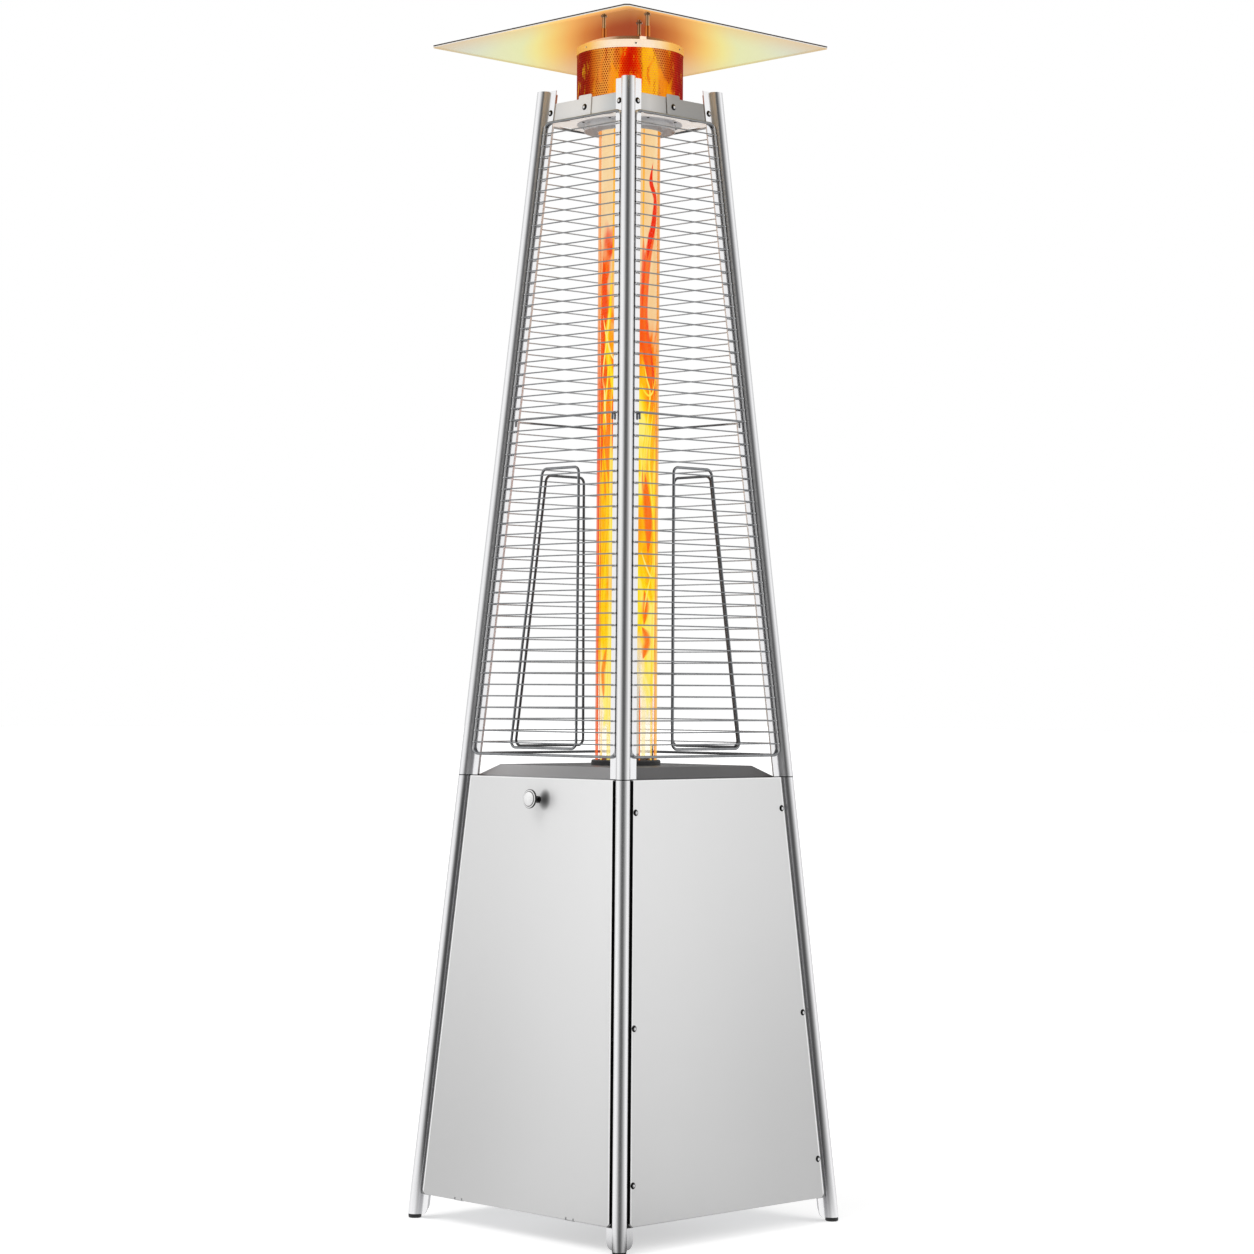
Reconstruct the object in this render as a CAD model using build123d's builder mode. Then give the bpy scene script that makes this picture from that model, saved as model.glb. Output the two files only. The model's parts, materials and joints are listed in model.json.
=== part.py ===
from build123d import *
from math import cos, radians, sin, sqrt
import os

os.makedirs("parts", exist_ok=True)

# A pyramid patio heater in millimetres. The floor is z = 0, the tube's axis is the Z axis, and the
# door is on the -Y face. Faces are counted from the door round through +X, and so are corners.

# Tower
tower_height = 2270
peak_rise = 158
joint_height = 828
foot_half = 276
head_half = 113.8
quarter = 90
turns = (0, 1, 2, 3)
overrun = 5
touch_gap = 0.3

# Posts
bar_radius = 13
bar_wall = 1.5
flange_reach = 33
flange_thick = 1.5
flange_corner = 15
plug_height = 7.5
plug_radius = 12.3
plug_edge = 1.5
plug_stub = 20
plug_fit = 0.2
joiner_half = 60
joiner_wall = 1.5
joiner_fit = 0.2

# Cabinet panels
sheet = 1
panel_lift = 46
panel_joint_gap = 1
panel_depth = 5.2
panel_margin = 19.7
panel_corner = 10
panel_edge = 1.2
panel_screw_margin = 27
panel_screw_shares = (0.092, 0.44, 0.926)
screw_head_radius = 6
screw_head_height = 3
screw_radius = 2
screw_hole_gap = 0.3
screw_reach = 9

# Door, its hinges and its magnets
door_gap = 0.8
hinge_across = 150
hinge_rise = 1.5
pin_radius = 1.25
pin_fit = 0.05
knuckle_radius = 2.4
knuckle_length = 16
ear_thick = 1.6
ear_gap = 0.5
ear_radius = 2.2
notch_gap = 0.8
rail_height = 30
rail_drop = 42
rail_thick = 1.5
magnet_across = 95
magnet_width = 34
magnet_height = 12
knob_drop = 40
knob_collar_radius = 6.5
knob_collar = 5
knob_neck_radius = 3.8
knob_neck = 13
knob_flare = 3
knob_radius = 17.5
knob_rim = 3
knob_step = 3
knob_dome = 5

# Bottom shelf
shelf_height = 63
shelf_sheet = 1.5
shelf_corner = 18
frame_screw_radius = 4
frame_screw_height = 2

# Burner plate and burner
plate_rise = 20
plate_margin = 41.9
bevel_run = 28
bevel_drop = 19
skirt_drop = 24
plate_sheet = 1.2
plate_corner = 8
lug_thick = 3
lug_drop = 20
burner_radius = 45
burner_rise = 14
burner_flange = 3
burner_wall = 1.5
port_radius = 2
port_ring_shares = (0.3, 0.58, 0.84)
port_counts = (8, 16, 24)
housing_radius = 72
housing_depth = 86
housing_wall = 1.2
air_hole_radius = 8
air_hole_count = 8
jet_radius = 7
jet_length = 40
jet_sink = 14
jet_bore = 1.5
jet_boss_radius = 6
jet_boss_reach = 16
pipe_radius = 4
pipe_wall = 1
pipe_lead = 30
pipe_swing = 46
pipe_bend = 25

# Tube
tube_radius = 58
tube_wall = 3
tube_stand = 22
gasket_thick = 2
seat_wall = 7
seat_height = 10
seat_gap = 0.6

# Electrode and thermocouple, beside the burner
probe_circle = 51.6
probe_radius = 1.6
probe_base_radius = 3
probe_drop = 26
probe_rise = 38
probe_stand = 16
thermocouple_turn = 30
electrode_turn = 330

# Tilt switch
switch_width = 30
switch_depth = 24
switch_height = 32
switch_across = 105
switch_corner = 3

# Controls on the back panel
control_drop = 62
bezel_width = 150
bezel_height = 58
bezel_thick = 1.5
bezel_corner = 8
bezel_screw_across = 66
dial_across = -34
igniter_across = 32
valve_width = 38
valve_depth = 40
valve_corner = 4
neck_radius = 9
neck_stand = 0.8
hole_gap = 0.4
core_radius = 6
core_depth = 24
turn_fit = 0.05
stem_radius = 3
stem_depth = 16
stem_spare = 6
stem_in_knob = 11
dial_travel = 4
dial_clearance = 1.2
dial_radius = 21
dial_grip_radius = 16
dial_base = 6
dial_height = 19
dial_flute_radius = 3
dial_flutes = 10
dial_edge = 1.5
pointer_width = 2.4
pointer_length = 9
inlet_hex_radius = 11
inlet_hex = 10
inlet_radius = 7.94
inlet_bore = 4
inlet_length = 16
igniter_radius = 7.45
igniter_wall = 3
igniter_depth = 42
igniter_rim = 2.5
igniter_rim_height = 1.5
button_depth = 22
button_stand = 7
button_edge = 1.5
bezel_screw_reach = 6

# Guards
guard_lift = 40
guard_gap = 3
frame_wire = 2.5
cross_wire = 1.2
cross_count = 54
weld = 0.9
guard_corner = 14
guard_margin = 15.8
cross_past = 1.5
loop_lift = 13
loop_height = 515
loop_margin = 120
loop_corner = 12
rod_wire = 2
rod_place = 29
rod_margin = 31
rod_leg = 13
rod_bend = 5

# Top band, plate and collar
band_drop = 25
band_height = 33
band_thick = 1.5
band_margin = 15
band_lip = 8
band_screw_margin = 24
band_screw_drop = 42
top_sheet = 1.5
tab_width = 34
tab_rise = 6
tab_gap = 0.1
scallop_radius = 17
scallop_depth = 11
plate_corner_cut = 17
collar_radius = 86
collar_flange = 13
collar_height = 14
collar_sheet = 1.2
collar_sleeve = 16
collar_screw_circle = 93
collar_screw_count = 8
collar_screw_head = 2.8
collar_screw_height = 1.6
collar_screw_radius = 1.2
tube_fit = 1.2

# Flame screen and lid
screen_radius = 100
screen_wall = 0.8
screen_height = 139
screen_foot = 14
lid_rim = 13
lid_wall = 0.8
lid_rise = 18
lid_plateau = 37
rivet_radius = 1.6
rivet_height = 0.8
rivet_count = 6
rivet_turn = -38
bolt_tail = 9

# Hood
hood_half = 265
hood_rise = 74
hood_flat = 7
hood_sheet = 1
hood_lip = 4
hood_corner = 6
bolt_circle = 50
bolt_count = 3
bolt_turn = -4
bolt_radius = 3.6
bolt_head_radius = 6
bolt_head_height = 2.5
spacer_radius = 5.2
spacer_share = 0.42
spacer_fit = 0.3
nut_height = 3.5
nut_radius = 6.4
nut_drop = 2

# Worked out from the sizes above
full_turn = 4 * quarter
post_top = tower_height - peak_rise
lean = (foot_half - head_half) / post_top
face_stretch = sqrt(1 + lean**2)
bar_stretch = sqrt(1 + 2 * lean**2)
panel_top = joint_height - panel_joint_gap
panel_out = touch_gap + panel_depth
panel_height = panel_top - panel_lift
hinge_height = panel_lift + hinge_rise
hinge_out = panel_out / 2
notch_width = knuckle_length + 2 * (ear_gap + ear_thick + notch_gap)
notch_top = hinge_height + knuckle_radius + notch_gap
rail_low = panel_top - rail_drop
magnet_level = rail_low + rail_height / 2
plate_level = joint_height + plate_rise
bevel_level = plate_level - bevel_drop
skirt_level = bevel_level - skirt_drop
tube_foot = plate_level + gasket_thick
tube_bore = tube_radius - tube_wall
band_top = post_top - band_drop
band_low = band_top - band_height
band_dip = (flange_thick + touch_gap + band_lip) * lean
top_plate_low = band_low - band_dip - touch_gap - top_sheet
top_plate_top = top_plate_low + top_sheet
tube_top = top_plate_top + tube_stand
guard_low = joint_height + guard_lift
guard_high = band_low - guard_gap
cross_pitch = (guard_high - guard_low) / (cross_count + 1)
frame_out = touch_gap + frame_wire
cross_out = frame_out + frame_wire + cross_wire - weld
rod_out = cross_out - cross_wire - rod_wire + weld
screen_top = top_plate_top + screen_height
lid_low = screen_top - lid_rim
lid_top = screen_top + lid_rise
hood_low = tower_height - hood_rise
hood_slope = (hood_rise - hood_lip) / (hood_half - hood_flat)
panel_inner = panel_out - sheet
valve_front = panel_inner - touch_gap
valve_middle = valve_front - valve_depth / 2
control_height = panel_top - control_drop
bezel_out = panel_out + bezel_thick
neck_out = bezel_out + neck_stand
dial_out = neck_out + dial_clearance + dial_travel


def half_at(height):
    """Distance of a bar's centre line from the two middle planes, at a height"""
    return foot_half - lean * height


def up_slope(height):
    """The same height measured along a leaning face"""
    return height * face_stretch


def face_plane(turn, out=0):
    """The plane through two bars' centre lines, moved outwards. X runs along the face, Y up it."""
    angle = radians(quarter * turn)
    outward = Vector(sin(angle), -cos(angle), 0)
    flat = Plane(
        origin=outward * foot_half,
        x_dir=Vector(cos(angle), sin(angle), 0),
        z_dir=outward + Vector(0, 0, lean),
    )
    return flat.offset(out)


def face_spot(turn, across, height, out=0):
    """A plane like face_plane with its origin at a place on the face"""
    flat = face_plane(turn, out)
    place = flat.from_local_coords(Vector(across, up_slope(height), 0))
    return Plane(origin=place, x_dir=flat.x_dir, z_dir=flat.z_dir)


def bar_plane(height):
    """The plane square to the near bar, at a height"""
    diagonal = Vector(1, -1, 0)
    return Plane(
        origin=diagonal * half_at(height) + Vector(0, 0, height),
        x_dir=Vector(1, 1, 0),
        z_dir=Vector(0, 0, 1) - diagonal * lean,
    )


def profile_plane(spot):
    """A plane whose X is the spot's X and whose Y is the spot's outward direction"""
    return Plane(origin=spot.origin, x_dir=spot.x_dir, z_dir=spot.x_dir.cross(spot.z_dir))


def slope_outline(low, high, margin, corner=0):
    """A closed outline between two heights, its sides parallel to the bars, in a face plane"""
    low_half = half_at(low) - margin
    high_half = half_at(high) - margin
    with BuildLine() as outline:
        Polyline(
            (-low_half, up_slope(low)),
            (low_half, up_slope(low)),
            (high_half, up_slope(high)),
            (-high_half, up_slope(high)),
            close=True,
        )
    make_face(outline.edges())
    if corner:
        fillet(vertices().group_by(Axis.Y)[0], corner)


def dome_screw(spot, head_radius, head_height, shank_radius, shank_length):
    """A low dome head on a plane, with its shank going in"""
    with BuildSketch(profile_plane(spot)) as profile:
        with BuildLine():
            Polyline(
                (0, head_height),
                (0, -shank_length),
                (shank_radius, -shank_length),
                (shank_radius, 0),
                (head_radius, 0),
            )
            TangentArc((0, head_height), (head_radius, 0), tangent=(1, 0))
        make_face()
    revolve(profile.sketch, axis=Axis(spot.origin, spot.z_dir))


def round_cut(spot, radius, depth):
    """A round hole through what lies near a plane"""
    with BuildSketch(spot) as ring:
        Circle(radius)
    extrude(ring.sketch, amount=depth, both=True, mode=Mode.SUBTRACT)


def corner_post(low, high, corner, hole_margin, hole_heights):
    """The near corner's post between two heights: a hollow bar with a flange along each face"""
    start = bar_plane(low - overrun)
    length = (high - low + 2 * overrun) * bar_stretch
    with BuildPart() as post:
        with BuildSketch(start):
            Circle(bar_radius)
        extrude(amount=length)
        for turn, hand in ((0, 1), (1, -1)):
            with BuildSketch(face_plane(turn)):
                with BuildLine():
                    Polyline(
                        (hand * half_at(low), up_slope(low)),
                        (hand * half_at(high), up_slope(high)),
                        (hand * (half_at(high) - flange_reach), up_slope(high)),
                        (hand * (half_at(low) - flange_reach), up_slope(low)),
                        close=True,
                    )
                make_face()
                if corner:
                    tips = vertices().group_by(Axis.Y)[0].sort_by(Axis.X)
                    fillet(tips[0] if hand > 0 else tips[-1], corner)
            extrude(amount=-flange_thick)
            for height in hole_heights:
                across = hand * (half_at(height) - hole_margin)
                round_cut(face_spot(turn, across, height), screw_radius + screw_hole_gap, 2 * flange_thick)
        with BuildSketch(start):
            Circle(bar_radius - bar_wall)
        extrude(amount=length, mode=Mode.SUBTRACT)
        split(bisect_by=Plane.XY.offset(low), keep=Keep.TOP)
        split(bisect_by=Plane.XY.offset(high), keep=Keep.BOTTOM)
    return post.part


panel_screw_heights = [panel_lift + share * panel_height for share in panel_screw_shares]
shelf_screw_height = (panel_lift + shelf_height) / 2 + shelf_sheet
frame_screw_heights = [shelf_screw_height, magnet_level]
band_screw_height = post_top - band_screw_drop
corner_names = ("front_right", "back_right", "back_left", "front_left")
face_names = ("front", "right", "back", "left")

# Corner posts
lower_post = corner_post(
    plug_height, joint_height, flange_corner, panel_screw_margin, panel_screw_heights + frame_screw_heights
)
upper_post = corner_post(joint_height, post_top, 0, band_screw_margin, [band_screw_height])
for turn in turns:
    with BuildPart() as lower_copy:
        add(lower_post, rotation=(0, 0, quarter * turn))
    lower_copy.part.label = f"lower_post_{corner_names[turn]}"
    export_step(lower_copy.part, f"parts/{lower_copy.part.label}.step")
    with BuildPart() as upper_copy:
        add(upper_post, rotation=(0, 0, quarter * turn))
    upper_copy.part.label = f"upper_post_{corner_names[turn]}"
    export_step(upper_copy.part, f"parts/{upper_copy.part.label}.step")

# Foot plugs
with BuildPart() as near_plug:
    with BuildSketch(bar_plane(0)):
        Circle(bar_radius - bar_wall - plug_fit)
    extrude(amount=(plug_height + plug_stub) * bar_stretch)
    split(bisect_by=Plane.XY.offset(plug_height), keep=Keep.TOP)
    plug_middle = bar_plane(plug_height).origin
    with BuildSketch(Plane(origin=(plug_middle.X, plug_middle.Y, 0))):
        Circle(plug_radius)
    extrude(amount=plug_height)
    chamfer(near_plug.faces().sort_by(Axis.Z)[0].edges(), plug_edge)
with BuildPart() as foot_plugs:
    for turn in turns:
        add(near_plug.part, rotation=(0, 0, quarter * turn))
foot_plugs.part.label = "foot_plugs"
export_step(foot_plugs.part, "parts/foot_plugs.step")

# Joiners inside the bars
with BuildPart() as near_joiner:
    joiner_radius = bar_radius - bar_wall - joiner_fit
    with BuildSketch(bar_plane(joint_height)):
        Circle(joiner_radius)
        Circle(joiner_radius - joiner_wall, mode=Mode.SUBTRACT)
    extrude(amount=joiner_half, both=True)
with BuildPart() as post_joiners:
    for turn in turns:
        add(near_joiner.part, rotation=(0, 0, quarter * turn))
post_joiners.part.label = "post_joiners"
export_step(post_joiners.part, "parts/post_joiners.step")


def pan(turn, gap):
    """A sheet panel with its four edges turned in towards the flanges"""
    with BuildSketch(face_plane(turn, gap)) as outside:
        slope_outline(panel_lift, panel_top, panel_margin, panel_corner)
    extrude(outside.sketch, amount=panel_out - gap)
    outward = Axis((0, 0, 0), face_plane(turn).z_dir)
    fillet(faces().sort_by(outward)[-1].edges(), panel_edge)
    with BuildSketch(face_plane(turn, gap)) as inside:
        slope_outline(panel_lift + sheet, panel_top - sheet, panel_margin + sheet, panel_corner - sheet)
    extrude(inside.sketch, amount=panel_out - sheet - gap, mode=Mode.SUBTRACT)


def panel_screw_spots(turn, out):
    """The places of a panel's screws"""
    return [
        face_spot(turn, hand * (half_at(height) - panel_screw_margin), height, out)
        for hand in (-1, 1)
        for height in panel_screw_heights
    ]


# Fixed panels
for turn in turns[1:]:
    with BuildPart() as side_panel:
        pan(turn, touch_gap)
        for spot in panel_screw_spots(turn, panel_out):
            round_cut(spot, screw_radius + screw_hole_gap, 2 * sheet)
        if face_names[turn] == "back":
            dial_spot = face_spot(turn, dial_across, control_height, panel_out)
            round_cut(dial_spot, neck_radius + hole_gap, 2 * sheet)
            igniter_spot = face_spot(turn, igniter_across, control_height, panel_out)
            round_cut(igniter_spot, igniter_radius + igniter_wall + hole_gap, 2 * sheet)
            for hand in (-1, 1):
                bezel_spot = face_spot(turn, hand * bezel_screw_across, control_height, panel_out)
                round_cut(bezel_spot, screw_radius + screw_hole_gap, 2 * sheet)
    side_panel.part.label = f"{face_names[turn]}_panel"
    export_step(side_panel.part, f"parts/{side_panel.part.label}.step")

with BuildPart() as panel_screws:
    for turn in turns[1:]:
        for spot in panel_screw_spots(turn, panel_out):
            dome_screw(spot, screw_head_radius, screw_head_height, screw_radius, screw_reach)
panel_screws.part.label = "panel_screws"
export_step(panel_screws.part, "parts/panel_screws.step")


def hinge_plane(across):
    """The plane square to the hinge pins, Y pointing up the door and X into the heater"""
    spot = face_spot(0, across, hinge_height, hinge_out)
    return Plane(origin=spot.origin, x_dir=spot.z_dir * -1, z_dir=spot.x_dir)


# Door with its hinge knuckles
with BuildPart() as door_panel:
    pan(0, door_gap)
    for hand in (-1, 1):
        across = hand * hinge_across
        with BuildSketch(face_spot(0, across, notch_top)):
            Rectangle(notch_width, notch_top, align=(Align.CENTER, Align.MAX))
        extrude(amount=panel_out + overrun, mode=Mode.SUBTRACT)
        with BuildSketch(face_spot(0, across, hinge_height, panel_out - sheet)):
            Rectangle(knuckle_length, 2 * (notch_top - hinge_height), align=(Align.CENTER, Align.MIN))
        extrude(amount=sheet)
        with BuildSketch(hinge_plane(across)):
            Circle(knuckle_radius)
        extrude(amount=knuckle_length / 2, both=True)
        with BuildSketch(hinge_plane(across)):
            Circle(pin_radius + pin_fit)
        extrude(amount=knuckle_length, both=True, mode=Mode.SUBTRACT)
door_panel.part.label = "door_panel"
export_step(door_panel.part, "parts/door_panel.step")

with BuildPart() as door_hinge_pins:
    for hand in (-1, 1):
        with BuildSketch(hinge_plane(hand * hinge_across)):
            Circle(pin_radius)
        extrude(amount=knuckle_length / 2 + ear_gap + ear_thick, both=True)
door_hinge_pins.part.label = "door_hinge_pins"
export_step(door_hinge_pins.part, "parts/door_hinge_pins.step")

# Door knob
knob_spot = face_spot(0, 0, panel_top - knob_drop, panel_out)
with BuildPart() as door_knob:
    rim_start = knob_collar + knob_neck + knob_flare
    rim_end = rim_start + knob_rim
    with BuildSketch(profile_plane(knob_spot)):
        with BuildLine():
            Polyline(
                (0, rim_end + knob_dome),
                (0, 0),
                (knob_collar_radius, 0),
                (knob_collar_radius, knob_collar - knob_flare / 2),
                (knob_neck_radius, knob_collar),
                (knob_neck_radius, knob_collar + knob_neck),
                (knob_radius - knob_step, rim_start),
                (knob_radius, rim_start),
                (knob_radius, rim_end - knob_rim / 3),
                (knob_radius - knob_rim / 3, rim_end),
                (knob_radius - knob_step, rim_end),
            )
            TangentArc((0, rim_end + knob_dome), (knob_radius - knob_step, rim_end), tangent=(1, 0))
        make_face()
    revolve(axis=Axis(knob_spot.origin, knob_spot.z_dir))
door_knob.part.label = "door_knob"
export_step(door_knob.part, "parts/door_knob.step")

# Rail behind the front flanges, and the magnets on it that hold the door
rail_out = -(flange_thick + touch_gap)
with BuildPart() as door_rail:
    with BuildSketch(face_plane(0, rail_out)):
        slope_outline(rail_low, rail_low + rail_height, band_margin)
    extrude(amount=-rail_thick)
    rail_screw_across = half_at(magnet_level) - panel_screw_margin
    for hand in (-1, 1):
        rail_spot = face_spot(0, hand * rail_screw_across, magnet_level, rail_out)
        round_cut(rail_spot, screw_radius + screw_hole_gap, 2 * rail_thick)
door_rail.part.label = "door_rail"
export_step(door_rail.part, "parts/door_rail.step")

with BuildPart() as door_magnets:
    for hand in (-1, 1):
        with BuildSketch(face_spot(0, hand * magnet_across, magnet_level, rail_out)):
            RectangleRounded(magnet_width, magnet_height, magnet_height / 4)
        extrude(amount=panel_out - sheet - touch_gap - rail_out)
door_magnets.part.label = "door_magnets"
export_step(door_magnets.part, "parts/door_magnets.step")

# Bottom shelf: a tray turned upside down, with the door's hinge ears on its front edge
shelf_margin = flange_thick + touch_gap
with BuildPart() as bottom_shelf:
    for inset, low, high, mode in (
        (0, panel_lift, shelf_height, Mode.ADD),
        (shelf_sheet, panel_lift - overrun, shelf_height - shelf_sheet, Mode.SUBTRACT),
    ):
        for level in (low, high):
            with BuildSketch(Plane.XY.offset(level)):
                side = 2 * (half_at(level) - shelf_margin - inset)
                Rectangle(side, side)
                chamfer(vertices(), shelf_corner)
        loft(mode=mode)
    for hand in (-1, 1):
        for side in (-1, 1):
            ear_middle = hand * hinge_across + side * (knuckle_length + ear_thick) / 2 + side * ear_gap
            with BuildSketch(hinge_plane(ear_middle)):
                Circle(ear_radius)
                Rectangle(
                    hinge_out + shelf_margin + shelf_sheet / 2,
                    2 * ear_radius,
                    align=(Align.MIN, Align.CENTER),
                )
                Circle(pin_radius, mode=Mode.SUBTRACT)
            extrude(amount=ear_thick / 2, both=True)
    for turn in turns:
        for hand in (-1, 1):
            across = hand * (half_at(shelf_screw_height) - panel_screw_margin)
            round_cut(face_spot(turn, across, shelf_screw_height), screw_radius + screw_hole_gap, overrun)
bottom_shelf.part.label = "bottom_shelf"
export_step(bottom_shelf.part, "parts/bottom_shelf.step")

# Screws of the shelf and the rail, on the flanges under the panels
with BuildPart() as frame_screws:
    spots = [(turn, hand, shelf_screw_height) for turn in turns for hand in (-1, 1)]
    spots += [(0, hand, magnet_level) for hand in (-1, 1)]
    for turn, hand, height in spots:
        spot = face_spot(turn, hand * (half_at(height) - panel_screw_margin), height, 0)
        dome_screw(spot, frame_screw_radius, frame_screw_height, screw_radius, screw_reach)
frame_screws.part.label = "frame_screws"
export_step(frame_screws.part, "parts/frame_screws.step")

# Burner plate: flat top, bevel, skirt and a lug to each bar
plate_half = half_at(plate_level) - plate_margin
bevel_half = plate_half + bevel_run
with BuildPart() as burner_plate:
    for inset, mode in ((0, Mode.ADD), (plate_sheet, Mode.SUBTRACT)):
        for level, half in ((plate_level - inset, plate_half), (bevel_level, bevel_half)):
            with BuildSketch(Plane.XY.offset(level)):
                side = 2 * (half - inset)
                RectangleRounded(side, side, plate_corner)
        loft(mode=mode)
        with BuildSketch(Plane.XY.offset(bevel_level)):
            side = 2 * (bevel_half - inset)
            RectangleRounded(side, side, plate_corner)
        extrude(amount=-skirt_drop - (overrun if inset else 0), mode=mode)
    lug_low = skirt_level
    lug_high = skirt_level + lug_drop
    corner_half = bevel_half - plate_corner / 2
    bar_inner = bar_radius + touch_gap
    for turn in turns:
        towards = Vector(1, -1, 0).rotate(Axis.Z, quarter * turn)
        with BuildSketch(Plane(origin=(0, 0, 0), x_dir=towards, z_dir=towards.cross(Vector(0, 0, -1)))):
            with BuildLine():
                Polyline(
                    (sqrt(2) * corner_half, -lug_low),
                    (sqrt(2) * corner_half, -lug_high),
                    (sqrt(2) * half_at(lug_high) - bar_inner, -lug_high),
                    (sqrt(2) * half_at(lug_low) - bar_inner, -lug_low),
                    close=True,
                )
            make_face()
        extrude(amount=lug_thick / 2, both=True)
    with Locations(Plane.XY.offset(plate_level)):
        Hole(burner_radius + touch_gap, depth=overrun)
    for probe_turn in (thermocouple_turn, electrode_turn):
        angle = radians(probe_turn)
        probe_plane = Plane(origin=(probe_circle * cos(angle), probe_circle * sin(angle), plate_level))
        round_cut(probe_plane, probe_base_radius + touch_gap, overrun)
burner_plate.part.label = "burner_plate"
export_step(burner_plate.part, "parts/burner_plate.step")

# Burner housing under the plate, and the burner head that stands through it
plate_under = plate_level - plate_sheet
housing_low = plate_under - housing_depth
jet_level = housing_low - jet_sink


def ring(level, outer, inner, height):
    """A round ring about the tube's axis"""
    with BuildSketch(Plane.XY.offset(level)) as face:
        Circle(outer)
        if inner:
            Circle(inner, mode=Mode.SUBTRACT)
    extrude(face.sketch, amount=height)


with BuildPart() as burner_housing:
    ring(housing_low, housing_radius, housing_radius - housing_wall, housing_depth)
    ring(housing_low, housing_radius, jet_radius + touch_gap, housing_wall)
    for place in range(air_hole_count):
        angle = radians(full_turn * place / air_hole_count)
        outward = Vector(cos(angle), sin(angle), 0)
        middle = outward * housing_radius + Vector(0, 0, housing_low + 2 * air_hole_radius)
        round_cut(Plane(origin=middle, z_dir=outward), air_hole_radius, 2 * housing_wall)
burner_housing.part.label = "burner_housing"
export_step(burner_housing.part, "parts/burner_housing.step")

with BuildPart() as burner_head:
    ring(plate_under - burner_wall, burner_radius, 0, plate_sheet + burner_wall + burner_rise)
    ring(plate_under - burner_wall, burner_radius + burner_flange, 0, burner_wall)
    fillet(burner_head.faces().sort_by(Axis.Z)[-1].edges(), burner_wall)
    with BuildSketch(Plane.XY.offset(plate_under - burner_wall)):
        Circle(burner_radius - burner_wall)
    extrude(amount=plate_sheet + burner_rise, mode=Mode.SUBTRACT)
    with BuildSketch(Plane.XY.offset(plate_level + burner_rise - 2 * burner_wall)):
        Circle(port_radius)
        for share, count in zip(port_ring_shares, port_counts):
            with PolarLocations(share * burner_radius, count):
                Circle(port_radius)
    extrude(amount=3 * burner_wall, mode=Mode.SUBTRACT)
burner_head.part.label = "burner_head"
export_step(burner_head.part, "parts/burner_head.step")

with BuildPart() as gas_jet:
    ring(jet_level - jet_length / 2, jet_radius, 0, jet_length)
    with BuildSketch(Plane(origin=(0, 0, jet_level), z_dir=(0, 1, 0))):
        Circle(jet_boss_radius)
    extrude(amount=jet_boss_reach)
    with BuildSketch(Plane(origin=(0, 0, jet_level), z_dir=(0, 1, 0))):
        Circle(pipe_radius - pipe_wall)
    extrude(amount=jet_boss_reach, mode=Mode.SUBTRACT)
    with BuildSketch(Plane.XY.offset(jet_level)):
        Circle(jet_bore)
    extrude(amount=jet_length, mode=Mode.SUBTRACT)
gas_jet.part.label = "gas_jet"
export_step(gas_jet.part, "parts/gas_jet.step")

# Gas pipe from the back of the valve to the jet
valve_back = face_spot(2, dial_across, control_height, valve_front - valve_depth)
pipe_start = valve_back.origin
pipe_first = pipe_start - valve_back.z_dir * pipe_lead
with BuildPart() as gas_pipe:
    with BuildLine() as route:
        FilletPolyline(
            pipe_start,
            pipe_first,
            (0, pipe_first.Y - pipe_swing, jet_level),
            (0, jet_boss_reach, jet_level),
            radius=pipe_bend,
        )
    with BuildSketch(Plane(origin=route.line @ 0, z_dir=route.line % 0)):
        Circle(pipe_radius)
        Circle(pipe_radius - pipe_wall, mode=Mode.SUBTRACT)
    sweep(path=route.line)
gas_pipe.part.label = "gas_pipe"
export_step(gas_pipe.part, "parts/gas_pipe.step")

# Seat, gasket and glass tube
with BuildPart() as tube_seat:
    ring(plate_level, tube_radius + seat_wall, tube_radius + seat_gap, seat_height)
    chamfer(tube_seat.faces().sort_by(Axis.Z)[-1].edges().sort_by(SortBy.LENGTH)[-1], seat_wall / 3)
tube_seat.part.label = "tube_seat"
export_step(tube_seat.part, "parts/tube_seat.step")

with BuildPart() as tube_gasket:
    ring(plate_level, tube_radius, tube_bore, gasket_thick)
tube_gasket.part.label = "tube_gasket"
export_step(tube_gasket.part, "parts/tube_gasket.step")

with BuildPart() as glass_tube:
    ring(tube_foot, tube_radius, tube_bore, tube_top - tube_foot)
    fillet(glass_tube.edges(), tube_wall / 3)
glass_tube.part.label = "glass_tube"
export_step(glass_tube.part, "parts/glass_tube.step")


def probe(turn, base_radius, rod_radius):
    """A rod on a thicker base, standing through the burner plate beside the burner"""
    angle = radians(turn)
    foot = Plane(origin=(probe_circle * cos(angle), probe_circle * sin(angle), plate_level - probe_drop))
    with BuildSketch(foot) as base:
        Circle(base_radius)
    extrude(base.sketch, amount=probe_drop + probe_stand)
    with BuildSketch(foot) as rod:
        Circle(rod_radius)
    extrude(rod.sketch, amount=probe_drop + probe_rise)


with BuildPart() as thermocouple:
    probe(thermocouple_turn, probe_base_radius, probe_radius)
    fillet(thermocouple.faces().sort_by(Axis.Z)[-1].edges(), probe_radius / 2)
thermocouple.part.label = "thermocouple"
export_step(thermocouple.part, "parts/thermocouple.step")

with BuildPart() as ignition_electrode:
    probe(electrode_turn, probe_base_radius, probe_radius / 2)
    chamfer(ignition_electrode.faces().sort_by(Axis.Z)[0].edges(), probe_radius / 4)
ignition_electrode.part.label = "ignition_electrode"
export_step(ignition_electrode.part, "parts/ignition_electrode.step")

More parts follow.
